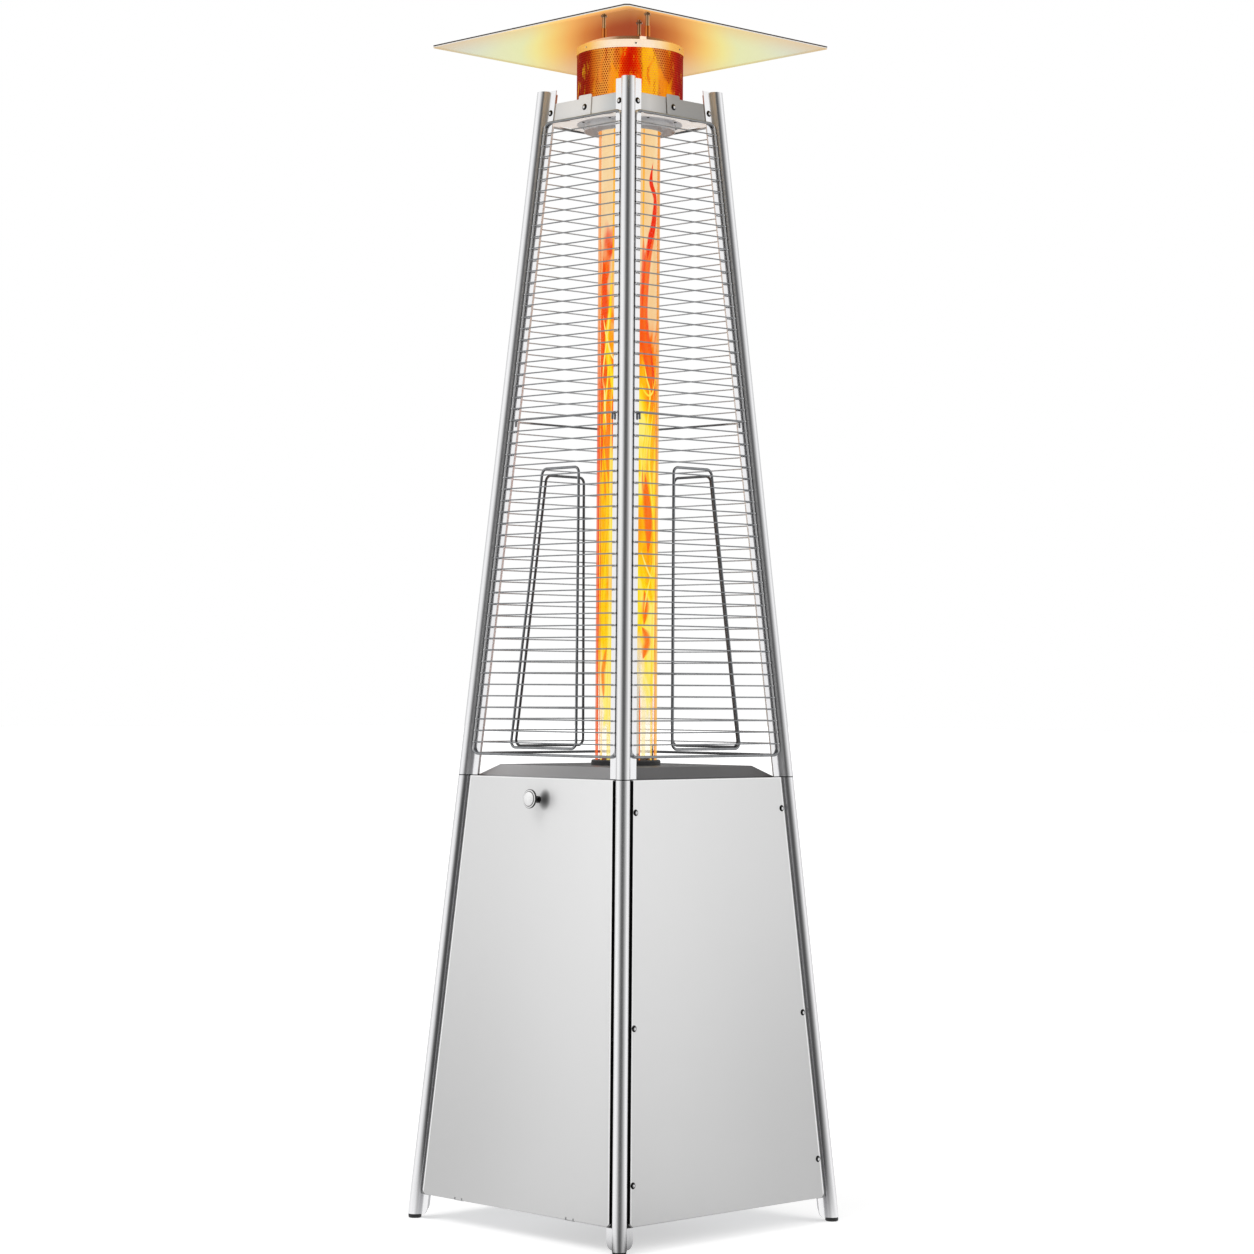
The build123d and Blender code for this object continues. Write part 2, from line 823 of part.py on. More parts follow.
with BuildPart() as tilt_switch:
    with BuildSketch(Plane(origin=(-switch_across, 0, plate_under))):
        RectangleRounded(switch_depth, switch_width, switch_corner)
    extrude(amount=-switch_height)
tilt_switch.part.label = "tilt_switch"
export_step(tilt_switch.part, "parts/tilt_switch.step")


def dial_plane(out):
    """The plane across the control knob's axis"""
    return face_spot(2, dial_across, control_height, out)


def igniter_plane(out):
    """The plane across the igniter button's axis"""
    return face_spot(2, igniter_across, control_height, out)


# Bezel plate on the back panel
with BuildPart() as control_bezel:
    with BuildSketch(face_spot(2, 0, control_height, panel_out)):
        RectangleRounded(bezel_width, bezel_height, bezel_corner)
        with Locations((dial_across, 0)):
            Circle(neck_radius + hole_gap, mode=Mode.SUBTRACT)
        with Locations((igniter_across, 0)):
            Circle(igniter_radius + igniter_wall + hole_gap, mode=Mode.SUBTRACT)
        with Locations((-bezel_screw_across, 0), (bezel_screw_across, 0)):
            Circle(screw_radius + screw_hole_gap, mode=Mode.SUBTRACT)
    extrude(amount=bezel_thick)
control_bezel.part.label = "control_bezel"
export_step(control_bezel.part, "parts/control_bezel.step")

with BuildPart() as bezel_screws:
    for hand in (-1, 1):
        spot = face_spot(2, hand * bezel_screw_across, control_height, bezel_out)
        dome_screw(spot, frame_screw_radius, frame_screw_height, screw_radius, bezel_screw_reach)
bezel_screws.part.label = "bezel_screws"
export_step(bezel_screws.part, "parts/bezel_screws.step")

# Gas valve with its turning core, its stem and the knob
with BuildPart() as gas_valve:
    with BuildSketch(dial_plane(valve_front)):
        RectangleRounded(valve_width, valve_width, valve_corner)
    extrude(amount=-valve_depth)
    with BuildSketch(dial_plane(valve_front)):
        Circle(neck_radius)
    extrude(amount=neck_out - valve_front)
    with BuildSketch(dial_plane(neck_out)):
        Circle(core_radius + turn_fit)
    extrude(amount=-(core_depth + touch_gap), mode=Mode.SUBTRACT)
gas_valve.part.label = "gas_valve"
export_step(gas_valve.part, "parts/gas_valve.step")

with BuildPart() as valve_core:
    with BuildSketch(dial_plane(neck_out)):
        Circle(core_radius)
    extrude(amount=-core_depth)
    with BuildSketch(dial_plane(neck_out)):
        Circle(stem_radius + turn_fit)
    extrude(amount=-(stem_depth + stem_spare), mode=Mode.SUBTRACT)
valve_core.part.label = "valve_core"
export_step(valve_core.part, "parts/valve_core.step")

with BuildPart() as valve_stem:
    with BuildSketch(dial_plane(neck_out - stem_depth)):
        Circle(stem_radius)
    extrude(amount=stem_depth + dial_out - neck_out + stem_in_knob)
valve_stem.part.label = "valve_stem"
export_step(valve_stem.part, "parts/valve_stem.step")

with BuildPart() as control_knob:
    with BuildSketch(dial_plane(dial_out)):
        Circle(dial_radius)
    extrude(amount=dial_base)
    chamfer(control_knob.faces().sort_by(Axis((0, 0, 0), dial_plane(0).z_dir))[-1].edges(), dial_edge)
    with BuildSketch(dial_plane(dial_out)):
        Circle(dial_grip_radius)
        with PolarLocations(dial_grip_radius + dial_flute_radius / 2, dial_flutes):
            Circle(dial_flute_radius, mode=Mode.SUBTRACT)
    extrude(amount=dial_height)
    with BuildSketch(dial_plane(dial_out + dial_height)):
        with Locations((0, dial_grip_radius - dial_flute_radius)):
            Rectangle(pointer_width, pointer_length, align=(Align.CENTER, Align.MAX))
    extrude(amount=-pointer_width / 2, mode=Mode.SUBTRACT)
    with BuildSketch(dial_plane(dial_out)):
        Circle(stem_radius)
    extrude(amount=stem_in_knob, mode=Mode.SUBTRACT)
control_knob.part.label = "control_knob"
export_step(control_knob.part, "parts/control_knob.step")

# Gas inlet under the valve, where the hose is screwed on
inlet_middle = dial_plane(valve_middle)
inlet_plane = Plane(
    origin=inlet_middle.origin - inlet_middle.y_dir * (valve_width / 2),
    x_dir=inlet_middle.x_dir,
    z_dir=inlet_middle.y_dir * -1,
)
with BuildPart() as gas_inlet:
    with BuildSketch(inlet_plane):
        RegularPolygon(inlet_hex_radius, 6)
    extrude(amount=inlet_hex)
    with BuildSketch(inlet_plane):
        Circle(inlet_radius)
    extrude(amount=inlet_hex + inlet_length)
    with BuildSketch(inlet_plane):
        Circle(inlet_bore)
    extrude(amount=inlet_hex + inlet_length, mode=Mode.SUBTRACT)
gas_inlet.part.label = "gas_inlet"
export_step(gas_inlet.part, "parts/gas_inlet.step")

# Igniter housing and its button
rim_out = bezel_out + igniter_rim_height
with BuildPart() as igniter_housing:
    with BuildSketch(igniter_plane(rim_out)):
        Circle(igniter_radius + igniter_wall)
    extrude(amount=-igniter_depth)
    with BuildSketch(igniter_plane(bezel_out)):
        Circle(igniter_radius + igniter_wall + igniter_rim)
    extrude(amount=igniter_rim_height)
    with BuildSketch(igniter_plane(rim_out)):
        Circle(igniter_radius + turn_fit)
    extrude(amount=-(igniter_depth - igniter_wall), mode=Mode.SUBTRACT)
igniter_housing.part.label = "igniter_housing"
export_step(igniter_housing.part, "parts/igniter_housing.step")

with BuildPart() as igniter_button:
    with BuildSketch(igniter_plane(rim_out - button_depth)):
        Circle(igniter_radius)
    extrude(amount=button_depth + button_stand)
    outer_face = igniter_button.faces().sort_by(Axis((0, 0, 0), igniter_plane(0).z_dir))[-1]
    fillet(outer_face.edges(), button_edge)
igniter_button.part.label = "igniter_button"
export_step(igniter_button.part, "parts/igniter_button.step")


def slope_points(low, high, margin):
    """The four corners of an outline whose sides run parallel to the bars"""
    return [
        (-half_at(low) + margin, up_slope(low)),
        (half_at(low) - margin, up_slope(low)),
        (half_at(high) - margin, up_slope(high)),
        (-half_at(high) + margin, up_slope(high)),
    ]


# Wire guards
cross_levels = [guard_low + cross_pitch * (place + 1) for place in range(cross_count)]
rod_level = cross_levels[rod_place - 1]
with BuildPart() as front_guard:
    cross_length = 2 * (half_at(guard_low) - guard_margin)
    cross_middles = [face_spot(0, 0, level, cross_out).origin for level in cross_levels]
    with Locations([Plane(origin=middle, z_dir=(1, 0, 0)) for middle in cross_middles]):
        Cylinder(cross_wire, cross_length)
    with BuildSketch(face_plane(0)):
        slope_outline(guard_low, guard_high, guard_margin - cross_past)
    extrude(amount=cross_out + overrun, mode=Mode.INTERSECT)
    with BuildLine(face_plane(0, frame_out)) as frame_line:
        FilletPolyline(slope_points(guard_low, guard_high, guard_margin), radius=guard_corner, close=True)
    with BuildSketch(Plane(origin=frame_line.line @ 0, z_dir=frame_line.line % 0)):
        Circle(frame_wire)
    sweep(path=frame_line.line)
    loop_low = guard_low + loop_lift
    with BuildLine(face_plane(0, frame_out)) as loop_line:
        loop_points = slope_points(loop_low, loop_low + loop_height, loop_margin)
        FilletPolyline(loop_points, radius=loop_corner, close=True)
    with BuildSketch(Plane(origin=loop_line.line @ 0, z_dir=loop_line.line % 0)):
        Circle(frame_wire)
    sweep(path=loop_line.line)
    rod_half = half_at(rod_level) - rod_margin
    with BuildLine(face_plane(0, rod_out)) as rod_line:
        FilletPolyline(
            (-rod_half, up_slope(rod_level) - rod_leg),
            (-rod_half, up_slope(rod_level)),
            (rod_half, up_slope(rod_level)),
            (rod_half, up_slope(rod_level) - rod_leg),
            radius=rod_bend,
        )
    with BuildSketch(Plane(origin=rod_line.line @ 0, z_dir=rod_line.line % 0)):
        Circle(rod_wire)
    sweep(path=rod_line.line)
for turn in turns:
    with BuildPart() as guard_copy:
        add(front_guard.part, rotation=(0, 0, quarter * turn))
    guard_copy.part.label = f"{face_names[turn]}_guard"
    export_step(guard_copy.part, f"parts/{guard_copy.part.label}.step")

# Band strips between the post tops
band_out = -(flange_thick + touch_gap)
with BuildPart() as front_band:
    with BuildSketch(face_plane(0, band_out)):
        slope_outline(band_low, band_top, band_margin)
    extrude(amount=-band_thick)
    with BuildSketch(face_plane(0, band_out)):
        slope_outline(band_low, band_low + band_thick, band_margin)
    extrude(amount=-band_lip)
    band_across = half_at(band_screw_height) - band_screw_margin
    for across in (-band_across, 0, band_across):
        spot = face_spot(0, across, band_screw_height, band_out)
        round_cut(spot, screw_radius + screw_hole_gap, 2 * band_thick)
for turn in turns:
    with BuildPart() as band_copy:
        add(front_band.part, rotation=(0, 0, quarter * turn))
    band_copy.part.label = f"{face_names[turn]}_band"
    export_step(band_copy.part, f"parts/{band_copy.part.label}.step")

with BuildPart() as band_screws:
    for turn in turns:
        for across, out in ((-band_across, 0), (0, -tab_gap), (band_across, 0)):
            spot = face_spot(turn, across, band_screw_height, out)
            dome_screw(spot, screw_head_radius, screw_head_height, screw_radius, screw_reach)
band_screws.part.label = "band_screws"
export_step(band_screws.part, "parts/band_screws.step")

# Top plate with a tab turned up in the middle of each side
collar_screw_step = full_turn / collar_screw_count
collar_screw_first = Vector(collar_screw_circle, 0, top_plate_low).rotate(Axis.Z, collar_screw_step / 2)
collar_screw_planes = [
    Plane(origin=collar_screw_first.rotate(Axis.Z, collar_screw_step * place))
    for place in range(collar_screw_count)
]
with BuildPart() as top_plate:
    plate_side = 2 * (half_at(top_plate_low) - flange_thick - 2 * touch_gap)
    tab_side = 2 * (half_at(top_plate_top) - tab_gap - top_sheet / 2)
    with BuildSketch(Plane.XY.offset(top_plate_low)):
        Rectangle(plate_side, plate_side)
        chamfer(vertices(), plate_corner_cut)
        scallop_across = (plate_side / 2 - plate_corner_cut + tab_width / 2) / 2
        scallop_out = plate_side / 2 + scallop_radius - scallop_depth
        for turn in turns:
            for hand in (-1, 1):
                place = Vector(hand * scallop_across, -scallop_out).rotate(Axis.Z, quarter * turn)
                with Locations(place):
                    Circle(scallop_radius, mode=Mode.SUBTRACT)
        Rectangle(tab_side, tab_width)
        Rectangle(tab_width, tab_side)
        Circle(tube_radius + tube_fit, mode=Mode.SUBTRACT)
    extrude(amount=top_sheet)
    tab_low = up_slope(top_plate_low)
    tab_high = up_slope(band_top + tab_rise)
    for turn in turns:
        with BuildSketch(face_plane(turn, -tab_gap)):
            with Locations((0, tab_low)):
                Rectangle(tab_width, tab_high - tab_low, align=(Align.CENTER, Align.MIN))
            fillet(vertices().group_by(Axis.Y)[-1], tab_rise / 2)
        extrude(amount=-top_sheet)
        spot = face_spot(turn, 0, band_screw_height, -tab_gap)
        round_cut(spot, screw_radius + screw_hole_gap, 2 * top_sheet)
    for screw_plane in collar_screw_planes:
        round_cut(screw_plane, collar_screw_radius + screw_hole_gap, 2 * top_sheet)
top_plate.part.label = "top_plate"
export_step(top_plate.part, "parts/top_plate.step")

# Collar under the top plate, round the tube
with BuildPart() as tube_collar:
    collar_inner = tube_radius + tube_fit
    ring(top_plate_low - collar_sheet, collar_radius + collar_flange, collar_inner, collar_sheet)
    ring(top_plate_low - collar_height, collar_radius, collar_radius - collar_sheet, collar_height)
    ring(top_plate_low - collar_sleeve, collar_inner + collar_sheet, collar_inner, collar_sleeve)
    for screw_plane in collar_screw_planes:
        round_cut(screw_plane, collar_screw_radius + screw_hole_gap, 2 * collar_sheet)
tube_collar.part.label = "tube_collar"
export_step(tube_collar.part, "parts/tube_collar.step")

with BuildPart() as collar_screws:
    for screw_plane in collar_screw_planes:
        low_plane = screw_plane.offset(-collar_sheet)
        head_plane = Plane(origin=low_plane.origin, z_dir=(0, 0, -1))
        screw_length = collar_sheet + top_sheet + 2 * screen_wall
        dome_screw(head_plane, collar_screw_head, collar_screw_height, collar_screw_radius, screw_length)
collar_screws.part.label = "collar_screws"
export_step(collar_screws.part, "parts/collar_screws.step")

# Flame screen and its lid
with BuildPart() as flame_screen:
    ring(top_plate_top, screen_radius, screen_radius - screen_wall, screen_height)
    ring(top_plate_top, screen_radius, screen_radius - screen_foot, screen_wall)
    for screw_plane in collar_screw_planes:
        round_cut(screw_plane, collar_screw_radius + screw_hole_gap, 2 * (top_sheet + screen_wall))
flame_screen.part.label = "flame_screen"
export_step(flame_screen.part, "parts/flame_screen.step")

lid_radius = screen_radius + touch_gap + lid_wall
lid_shoulder = screen_top + touch_gap + lid_wall
with BuildPart() as screen_lid:
    with BuildSketch(Plane.XZ):
        for inset, mode in ((0, Mode.ADD), (lid_wall, Mode.SUBTRACT)):
            rim = lid_radius - inset
            shoulder = lid_shoulder - inset
            plateau = lid_top - inset
            with BuildLine() as lid_line:
                Polyline(
                    (lid_plateau, plateau),
                    (0, plateau),
                    (0, lid_low),
                    (rim, lid_low),
                    (rim, shoulder),
                )
                TangentArc((lid_plateau, plateau), (rim, shoulder), tangent=(1, 0))
            make_face(lid_line.edges(), mode=mode)
    revolve(axis=Axis.Z)
    with BuildSketch(Plane.XY.offset(lid_top)):
        with PolarLocations(bolt_circle, bolt_count, start_angle=bolt_turn):
            Circle(bolt_radius + spacer_fit)
    extrude(amount=-lid_rise, mode=Mode.SUBTRACT)
screen_lid.part.label = "screen_lid"
export_step(screen_lid.part, "parts/screen_lid.step")

with BuildPart() as lid_rivets:
    for place in range(rivet_count):
        angle = radians(rivet_turn + full_turn * place / rivet_count)
        outward = Vector(cos(angle), sin(angle), 0)
        middle = outward * lid_radius + Vector(0, 0, (lid_low + lid_shoulder) / 2)
        with BuildSketch(Plane(origin=middle, z_dir=outward)):
            Circle(rivet_radius)
        extrude(amount=rivet_height)
lid_rivets.part.label = "lid_rivets"
export_step(lid_rivets.part, "parts/lid_rivets.step")


def hood_level(place):
    """Height of the hood's outer surface over a place"""
    return tower_height - hood_slope * (max(abs(place.X), abs(place.Y)) - hood_flat)


def pyramid(inset, overlap):
    """The hood's outline as a solid, moved inwards"""
    with BuildSketch(Plane.XY.offset(hood_low - overlap)) as foot:
        Rectangle(2 * (hood_half - inset), 2 * (hood_half - inset))
        chamfer(foot.vertices(), hood_corner)
    extrude(foot.sketch, amount=hood_lip + overlap - inset)
    with BuildSketch(Plane.XY.offset(hood_low + hood_lip - inset)) as eave:
        Rectangle(2 * (hood_half - inset), 2 * (hood_half - inset))
        chamfer(eave.vertices(), hood_corner)
    with BuildSketch(Plane.XY.offset(tower_height - inset)) as peak:
        Rectangle(2 * hood_flat, 2 * hood_flat)
        chamfer(peak.vertices(), hood_flat / 3)
    loft(eave.sketch.faces() + peak.sketch.faces())


bolt_places = [
    Vector(bolt_circle, 0).rotate(Axis.Z, bolt_turn + full_turn * place / bolt_count)
    for place in range(bolt_count)
]
with BuildPart() as hood_block:
    pyramid(0, 0)
with BuildPart() as hood_hollow:
    pyramid(hood_sheet, overrun)

# Hood
with BuildPart() as hood:
    add(hood_block.part)
    add(hood_hollow.part, mode=Mode.SUBTRACT)
    with BuildSketch(Plane.XY.offset(tower_height)):
        with Locations(bolt_places):
            Circle(bolt_radius + spacer_fit)
    extrude(amount=-hood_rise, mode=Mode.SUBTRACT)
hood.part.label = "hood"
export_step(hood.part, "parts/hood.step")

# Long bolts through hood and lid, their spacers, and the nuts under the hood and under the lid
bolt_low = lid_top - lid_wall - bolt_tail
with BuildPart() as hood_bolts:
    for place in bolt_places:
        foot = hood_level(place) - bolt_head_radius * hood_slope - touch_gap
        head = hood_level(place) + bolt_head_radius * hood_slope + bolt_head_height
        with BuildSketch(Plane(origin=(place.X, place.Y, foot))):
            Circle(bolt_head_radius)
        extrude(amount=head - foot)
        fillet(hood_bolts.faces().sort_by(Axis.Z)[-1].edges(), bolt_head_height / 2)
    add(hood_block.part, mode=Mode.SUBTRACT)
    for place in bolt_places:
        with BuildSketch(Plane(origin=(place.X, place.Y, bolt_low))):
            Circle(bolt_radius)
        extrude(amount=hood_level(place) + bolt_head_radius * hood_slope - bolt_low)
hood_bolts.part.label = "hood_bolts"
export_step(hood_bolts.part, "parts/hood_bolts.step")

with BuildPart() as hood_spacers:
    for place in bolt_places:
        with BuildSketch(Plane(origin=(place.X, place.Y, lid_top))):
            Circle(spacer_radius)
            Circle(bolt_radius + spacer_fit, mode=Mode.SUBTRACT)
        extrude(amount=spacer_share * (hood_level(place) - lid_top))
hood_spacers.part.label = "hood_spacers"
export_step(hood_spacers.part, "parts/hood_spacers.step")

with BuildPart() as hood_nuts:
    for place in bolt_places:
        hood_nut_top = hood_level(place) - (nut_radius + touch_gap) * hood_slope - 2 * hood_sheet
        for nut_top in (hood_nut_top, lid_top - lid_wall - nut_drop):
            with BuildSketch(Plane(origin=(place.X, place.Y, nut_top))):
                RegularPolygon(nut_radius, 6)
                Circle(bolt_radius + touch_gap, mode=Mode.SUBTRACT)
            extrude(amount=-nut_height)
hood_nuts.part.label = "hood_nuts"
export_step(hood_nuts.part, "parts/hood_nuts.step")
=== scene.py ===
import json
from math import asin, cos, pi, radians, sin, sqrt

import bpy
from mathutils import Matrix, Vector


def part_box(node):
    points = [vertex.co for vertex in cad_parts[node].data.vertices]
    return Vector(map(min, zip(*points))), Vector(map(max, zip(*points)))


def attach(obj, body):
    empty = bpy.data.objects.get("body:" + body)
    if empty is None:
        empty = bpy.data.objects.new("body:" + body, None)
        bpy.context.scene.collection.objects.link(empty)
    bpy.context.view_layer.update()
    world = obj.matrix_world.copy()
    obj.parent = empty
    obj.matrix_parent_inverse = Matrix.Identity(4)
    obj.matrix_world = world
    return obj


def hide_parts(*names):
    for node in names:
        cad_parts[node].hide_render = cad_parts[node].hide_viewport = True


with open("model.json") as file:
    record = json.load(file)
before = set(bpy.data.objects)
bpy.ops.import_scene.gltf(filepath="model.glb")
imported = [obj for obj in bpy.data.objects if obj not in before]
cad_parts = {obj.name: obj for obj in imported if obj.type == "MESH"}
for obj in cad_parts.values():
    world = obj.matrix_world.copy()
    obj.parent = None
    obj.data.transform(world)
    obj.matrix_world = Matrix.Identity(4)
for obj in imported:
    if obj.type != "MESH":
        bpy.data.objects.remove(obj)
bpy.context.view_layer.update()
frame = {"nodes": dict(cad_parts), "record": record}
nodes = frame["nodes"]
scene = bpy.context.scene

# Camera: turned from the door's side towards the right side, a little under half the height
CAMERA_TURN = radians(45.94)
CAMERA_DISTANCE = 5.931
CAMERA_HEIGHT = 0.988
CAMERA_PAN = radians(0.006)
CAMERA_PITCH = radians(1.144)
CAMERA_ROLL = radians(0.344)
FOCAL_PIXELS = 3162.1
IMAGE_PIXELS = 1254
SENSOR = 36
VIEW_END = 200

# Directions: towards the camera and to its right, both level, then up, down and out of the door
TOWARDS = Vector((sin(CAMERA_TURN), -cos(CAMERA_TURN), 0))
SIDEWAYS = Vector((cos(CAMERA_TURN), sin(CAMERA_TURN), 0))
UP = Vector((0, 0, 1))
DOWN = (0, 0, -1)
DOORWARD = (0, -1, 0)

# Sizes of the solids that the paints and the added pieces follow, in metres. LEAN is how much nearer to
# the axis a face comes for each metre up.
GLASS_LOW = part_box("glass_tube")[0].z
GLASS_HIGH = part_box("glass_tube")[1].z
GLASS_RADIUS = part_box("glass_tube")[1].x
GLASS_WALL = 0.003
SCREEN_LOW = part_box("flame_screen")[0].z
SCREEN_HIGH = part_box("flame_screen")[1].z
SCREEN_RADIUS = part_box("flame_screen")[1].x
LID_RIM_TOP = 2.1942
KNOB_LOW, KNOB_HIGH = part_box("door_knob")
KNOB_LEVEL = (KNOB_LOW.z + KNOB_HIGH.z) / 2
KNOB_RADIUS = KNOB_HIGH.x
HOOD_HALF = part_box("hood")[1].x
HOOD_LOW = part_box("hood")[0].z
FOOT_HALF = 0.276
LEAN = 0.0768
BAR_RADIUS = 0.013
JOINT = 0.828
PANEL_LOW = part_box("left_panel")[0].z
PANEL_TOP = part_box("left_panel")[1].z
PANEL_MARGIN = 0.0197
WIRE_OUT = 0.0046

# The door knob's shadow on the door, in metres: how far it lies aside and below, half its width and height
SHADE_ASIDE = 0.0165
SHADE_BELOW = 0.001
SHADE_HALF_WIDTH = 0.0165
SHADE_HALF_HEIGHT = 0.0205

# Stretches over which a paint changes, in metres, each from its first end to its second
SIDE_POSTS = (0.16, 0.2)
ABOVE_FOOT = (PANEL_LOW - 0.002, PANEL_LOW)
LOWER_POSTS = (JOINT + 0.0005, JOINT - 0.0005)
PAST_BAR = (BAR_RADIUS, BAR_RADIUS + 0.0006)
JOINT_SEAM = (0.0003, 0.0014)
TOP_FOLD = (PANEL_TOP - 0.0026, PANEL_TOP - 0.0018)
SIDE_FOLD = (PANEL_MARGIN + 0.0044, PANEL_MARGIN + 0.0034)
SIDE_WALL = (PANEL_MARGIN + 0.0012, PANEL_MARGIN + 0.0008)
BELOW_TOP = (PANEL_TOP - 0.001, PANEL_TOP - 0.002)
PANEL_RISE = (0.02, 0.9)
PANEL_NEAR = (0.0, 0.36)
DOOR_FACE = (-0.19, -0.2)
KNOB_FRONT = (KNOB_HIGH.y - 0.019, KNOB_HIGH.y - 0.0205)
BEHIND_CROSS_WIRES = (WIRE_OUT, WIRE_OUT - 0.0006)
INSIDE_FRAME = (0.05, 0.07)
WIRE_ENDS = (0.0158, 0.0148)
ABOVE_PLATE = (JOINT + 0.05, JOINT + 0.06)
FRAME_OUTER = (0.0158, 0.0168)
FRAME_INNER = (0.0196, 0.0186)
BAND_SIDES = (-0.2, 0.2)
PLATE_LEFT = (-0.05, -0.25)
HOOD_BEHIND = (0.0, -0.1)
HOOD_NEAR = (-0.08, 0.04)
HOOD_FAR = (-0.12, -0.28)
HOOD_EDGE = (HOOD_HALF - 0.004, HOOD_HALF - 0.003)
HOOD_FOLD = (HOOD_LOW + 0.0014, HOOD_LOW + 0.002)
LID_RIM = (LID_RIM_TOP, LID_RIM_TOP - 0.001)
GLASS_FALL = (1.95, 0.95)
FLAME_RISE = (1.2, 1.76)
FLAME_HAZE = (1.68, 1.77)
FLAME_PALE = (1.06, 0.98)

# The part of a noise's range that holds nearly all of its values
NOISE_LOW, NOISE_HIGH = 0.3, 0.7


# Materials


def linear(colour):
    """A colour given as #rrggbb, as linear values. Anything else stays as it is."""
    if not isinstance(colour, str):
        return colour
    parts = [int(colour[place : place + 2], 16) / 255 for place in (1, 3, 5)]
    return tuple(c / 12.92 if c <= 0.04045 else ((c + 0.055) / 1.055) ** 2.4 for c in parts) + (1.0,)


class Paint:
    """Adds and joins the nodes of one material, or of the world"""

    def __init__(self, name, world=False):
        self.holder = bpy.data.worlds.new(name) if world else bpy.data.materials.new(name)
        self.holder.use_nodes = True
        self.tree = self.holder.node_tree
        self.tree.nodes.clear()
        self.output = self.add("OutputWorld" if world else "OutputMaterial")

    def add(self, kind, inputs=None, **settings):
        """A new node. Each input gets a number, a #rrggbb colour, a vector or another node's result."""
        node = self.tree.nodes.new("ShaderNode" + kind)
        for key, value in settings.items():
            setattr(node, key, value)
        for key, value in (inputs or {}).items():
            if isinstance(value, bpy.types.NodeSocket):
                self.tree.links.new(value, node.inputs[key])
            else:
                node.inputs[key].default_value = linear(value)
        return node

    def math(self, operation, *values, clamp=False):
        return self.add("Math", dict(enumerate(values)), operation=operation, use_clamp=clamp).outputs[0]

    def chain(self, operation, values):
        """One operation on all the values, from the first to the last"""
        total = values[0]
        for value in values[1:]:
            total = self.math(operation, total, value)
        return total

    def plus(self, *values):
        return self.chain("ADD", values)

    def times(self, *values):
        return self.chain("MULTIPLY", values)

    def most(self, *values):
        return self.chain("MAXIMUM", values)

    def minus(self, first, second):
        return self.math("SUBTRACT", first, second)

    def over(self, first, second):
        return self.math("DIVIDE", first, second)

    def size(self, value):
        """The value without its sign"""
        return self.math("ABSOLUTE", value)

    def square(self, value):
        return self.math("POWER", value, 2.0)

    def length(self, first, second):
        """How long two steps at a right angle are together"""
        return self.math("SQRT", self.plus(self.square(first), self.square(second)))

    def dot(self, vector, direction):
        return self.add("VectorMath", {0: vector, 1: direction}, operation="DOT_PRODUCT").outputs["Value"]

    def parts(self, vector):
        """The x, y and z of a vector"""
        return self.add("SeparateXYZ", {0: vector}).outputs

    def place(self):
        return self.add("TexCoord").outputs["Object"]

    def flat_place(self):
        """The place without its height"""
        return self.add("VectorMath", {0: self.place(), 1: (1, 1, 0)}, operation="MULTIPLY").outputs[0]

    def height(self):
        return self.parts(self.place())[2]

    def along(self, direction):
        """How far a point lies along a direction from the tube's axis at the floor"""
        return self.dot(self.place(), direction)

    def spot(self):
        """How far a point lies from the axis along x and along y, and its height"""
        x, y, height = self.parts(self.place())
        return self.size(x), self.size(y), height

    def half_width(self, height):
        """Half the width of the tapered body at a height"""
        return self.minus(FOOT_HALF, self.times(height, LEAN))

    def from_post(self, wide, deep, height):
        """How far a point of a face lies from the middle of the nearer corner post"""
        return self.minus(self.half_width(height), self.math("MINIMUM", wide, deep))

    def by_side_posts(self):
        """1 at the posts on the left and right of the photograph, 0 at the near and the far one"""
        return self.fit(self.size(self.along(SIDEWAYS)), *SIDE_POSTS)

    def normal(self):
        """Where the surface faces, turning with its piece"""
        return self.add("TexCoord").outputs["Normal"]

    def facing(self, direction):
        """How far a surface faces a direction, from -1 to 1"""
        return self.dot(self.normal(), direction)

    def noise(self, scale, stretch=(1, 1, 1), detail=3, rough=0.5, vector=None):
        """A noise value from 0 to 1, with a stretch along each axis"""
        spread = self.add("Mapping", {"Vector": vector or self.place(), "Scale": stretch})
        settings = {"Vector": spread.outputs[0], "Scale": scale, "Detail": detail, "Roughness": rough}
        return self.add("TexNoise", settings).outputs["Fac"]

    def swing(self, noise, reach):
        """A noise as a swing to both sides of 0"""
        return self.times(self.minus(noise, 0.5), reach)

    def fit(self, value, low, high, new_low=0.0, new_high=1.0):
        """The value moved smoothly from one range to another, and held at its ends"""
        inputs = {"Value": value, "From Min": low, "From Max": high, "To Min": new_low, "To Max": new_high}
        return self.add("MapRange", inputs, interpolation_type="SMOOTHSTEP").outputs["Result"]

    def spread(self, noise, low, high):
        """A noise spread over a range, such as that of a roughness"""
        return self.fit(noise, NOISE_LOW, NOISE_HIGH, low, high)

    def ramp(self, value, stops):
        node = self.add("ValToRGB", {"Fac": value})
        elements = node.color_ramp.elements
        while len(elements) < len(stops):
            elements.new(0.5)
        for element, (spot, colour) in zip(elements, stops):
            element.position = spot
            element.color = linear(colour)
        return node.outputs["Color"]

    def shades(self, noise, first, second):
        """Two shades mixed by a noise"""
        return self.ramp(noise, ((NOISE_LOW, first), (NOISE_HIGH, second)))

    def blend(self, share, first, second):
        """A colour between two, by a share of the second"""
        return self.add("Mix", {0: share, 6: first, 7: second}, data_type="RGBA").outputs[2]

    def bump(self, height, strength, distance):
        inputs = {"Height": height, "Strength": strength, "Distance": distance}
        return self.add("Bump", inputs).outputs["Normal"]

    def mix(self, share, first, second):
        """A shader between two, by a share of the second"""
        return self.add("MixShader", {0: share, 1: first.outputs[0], 2: second.outputs[0]})

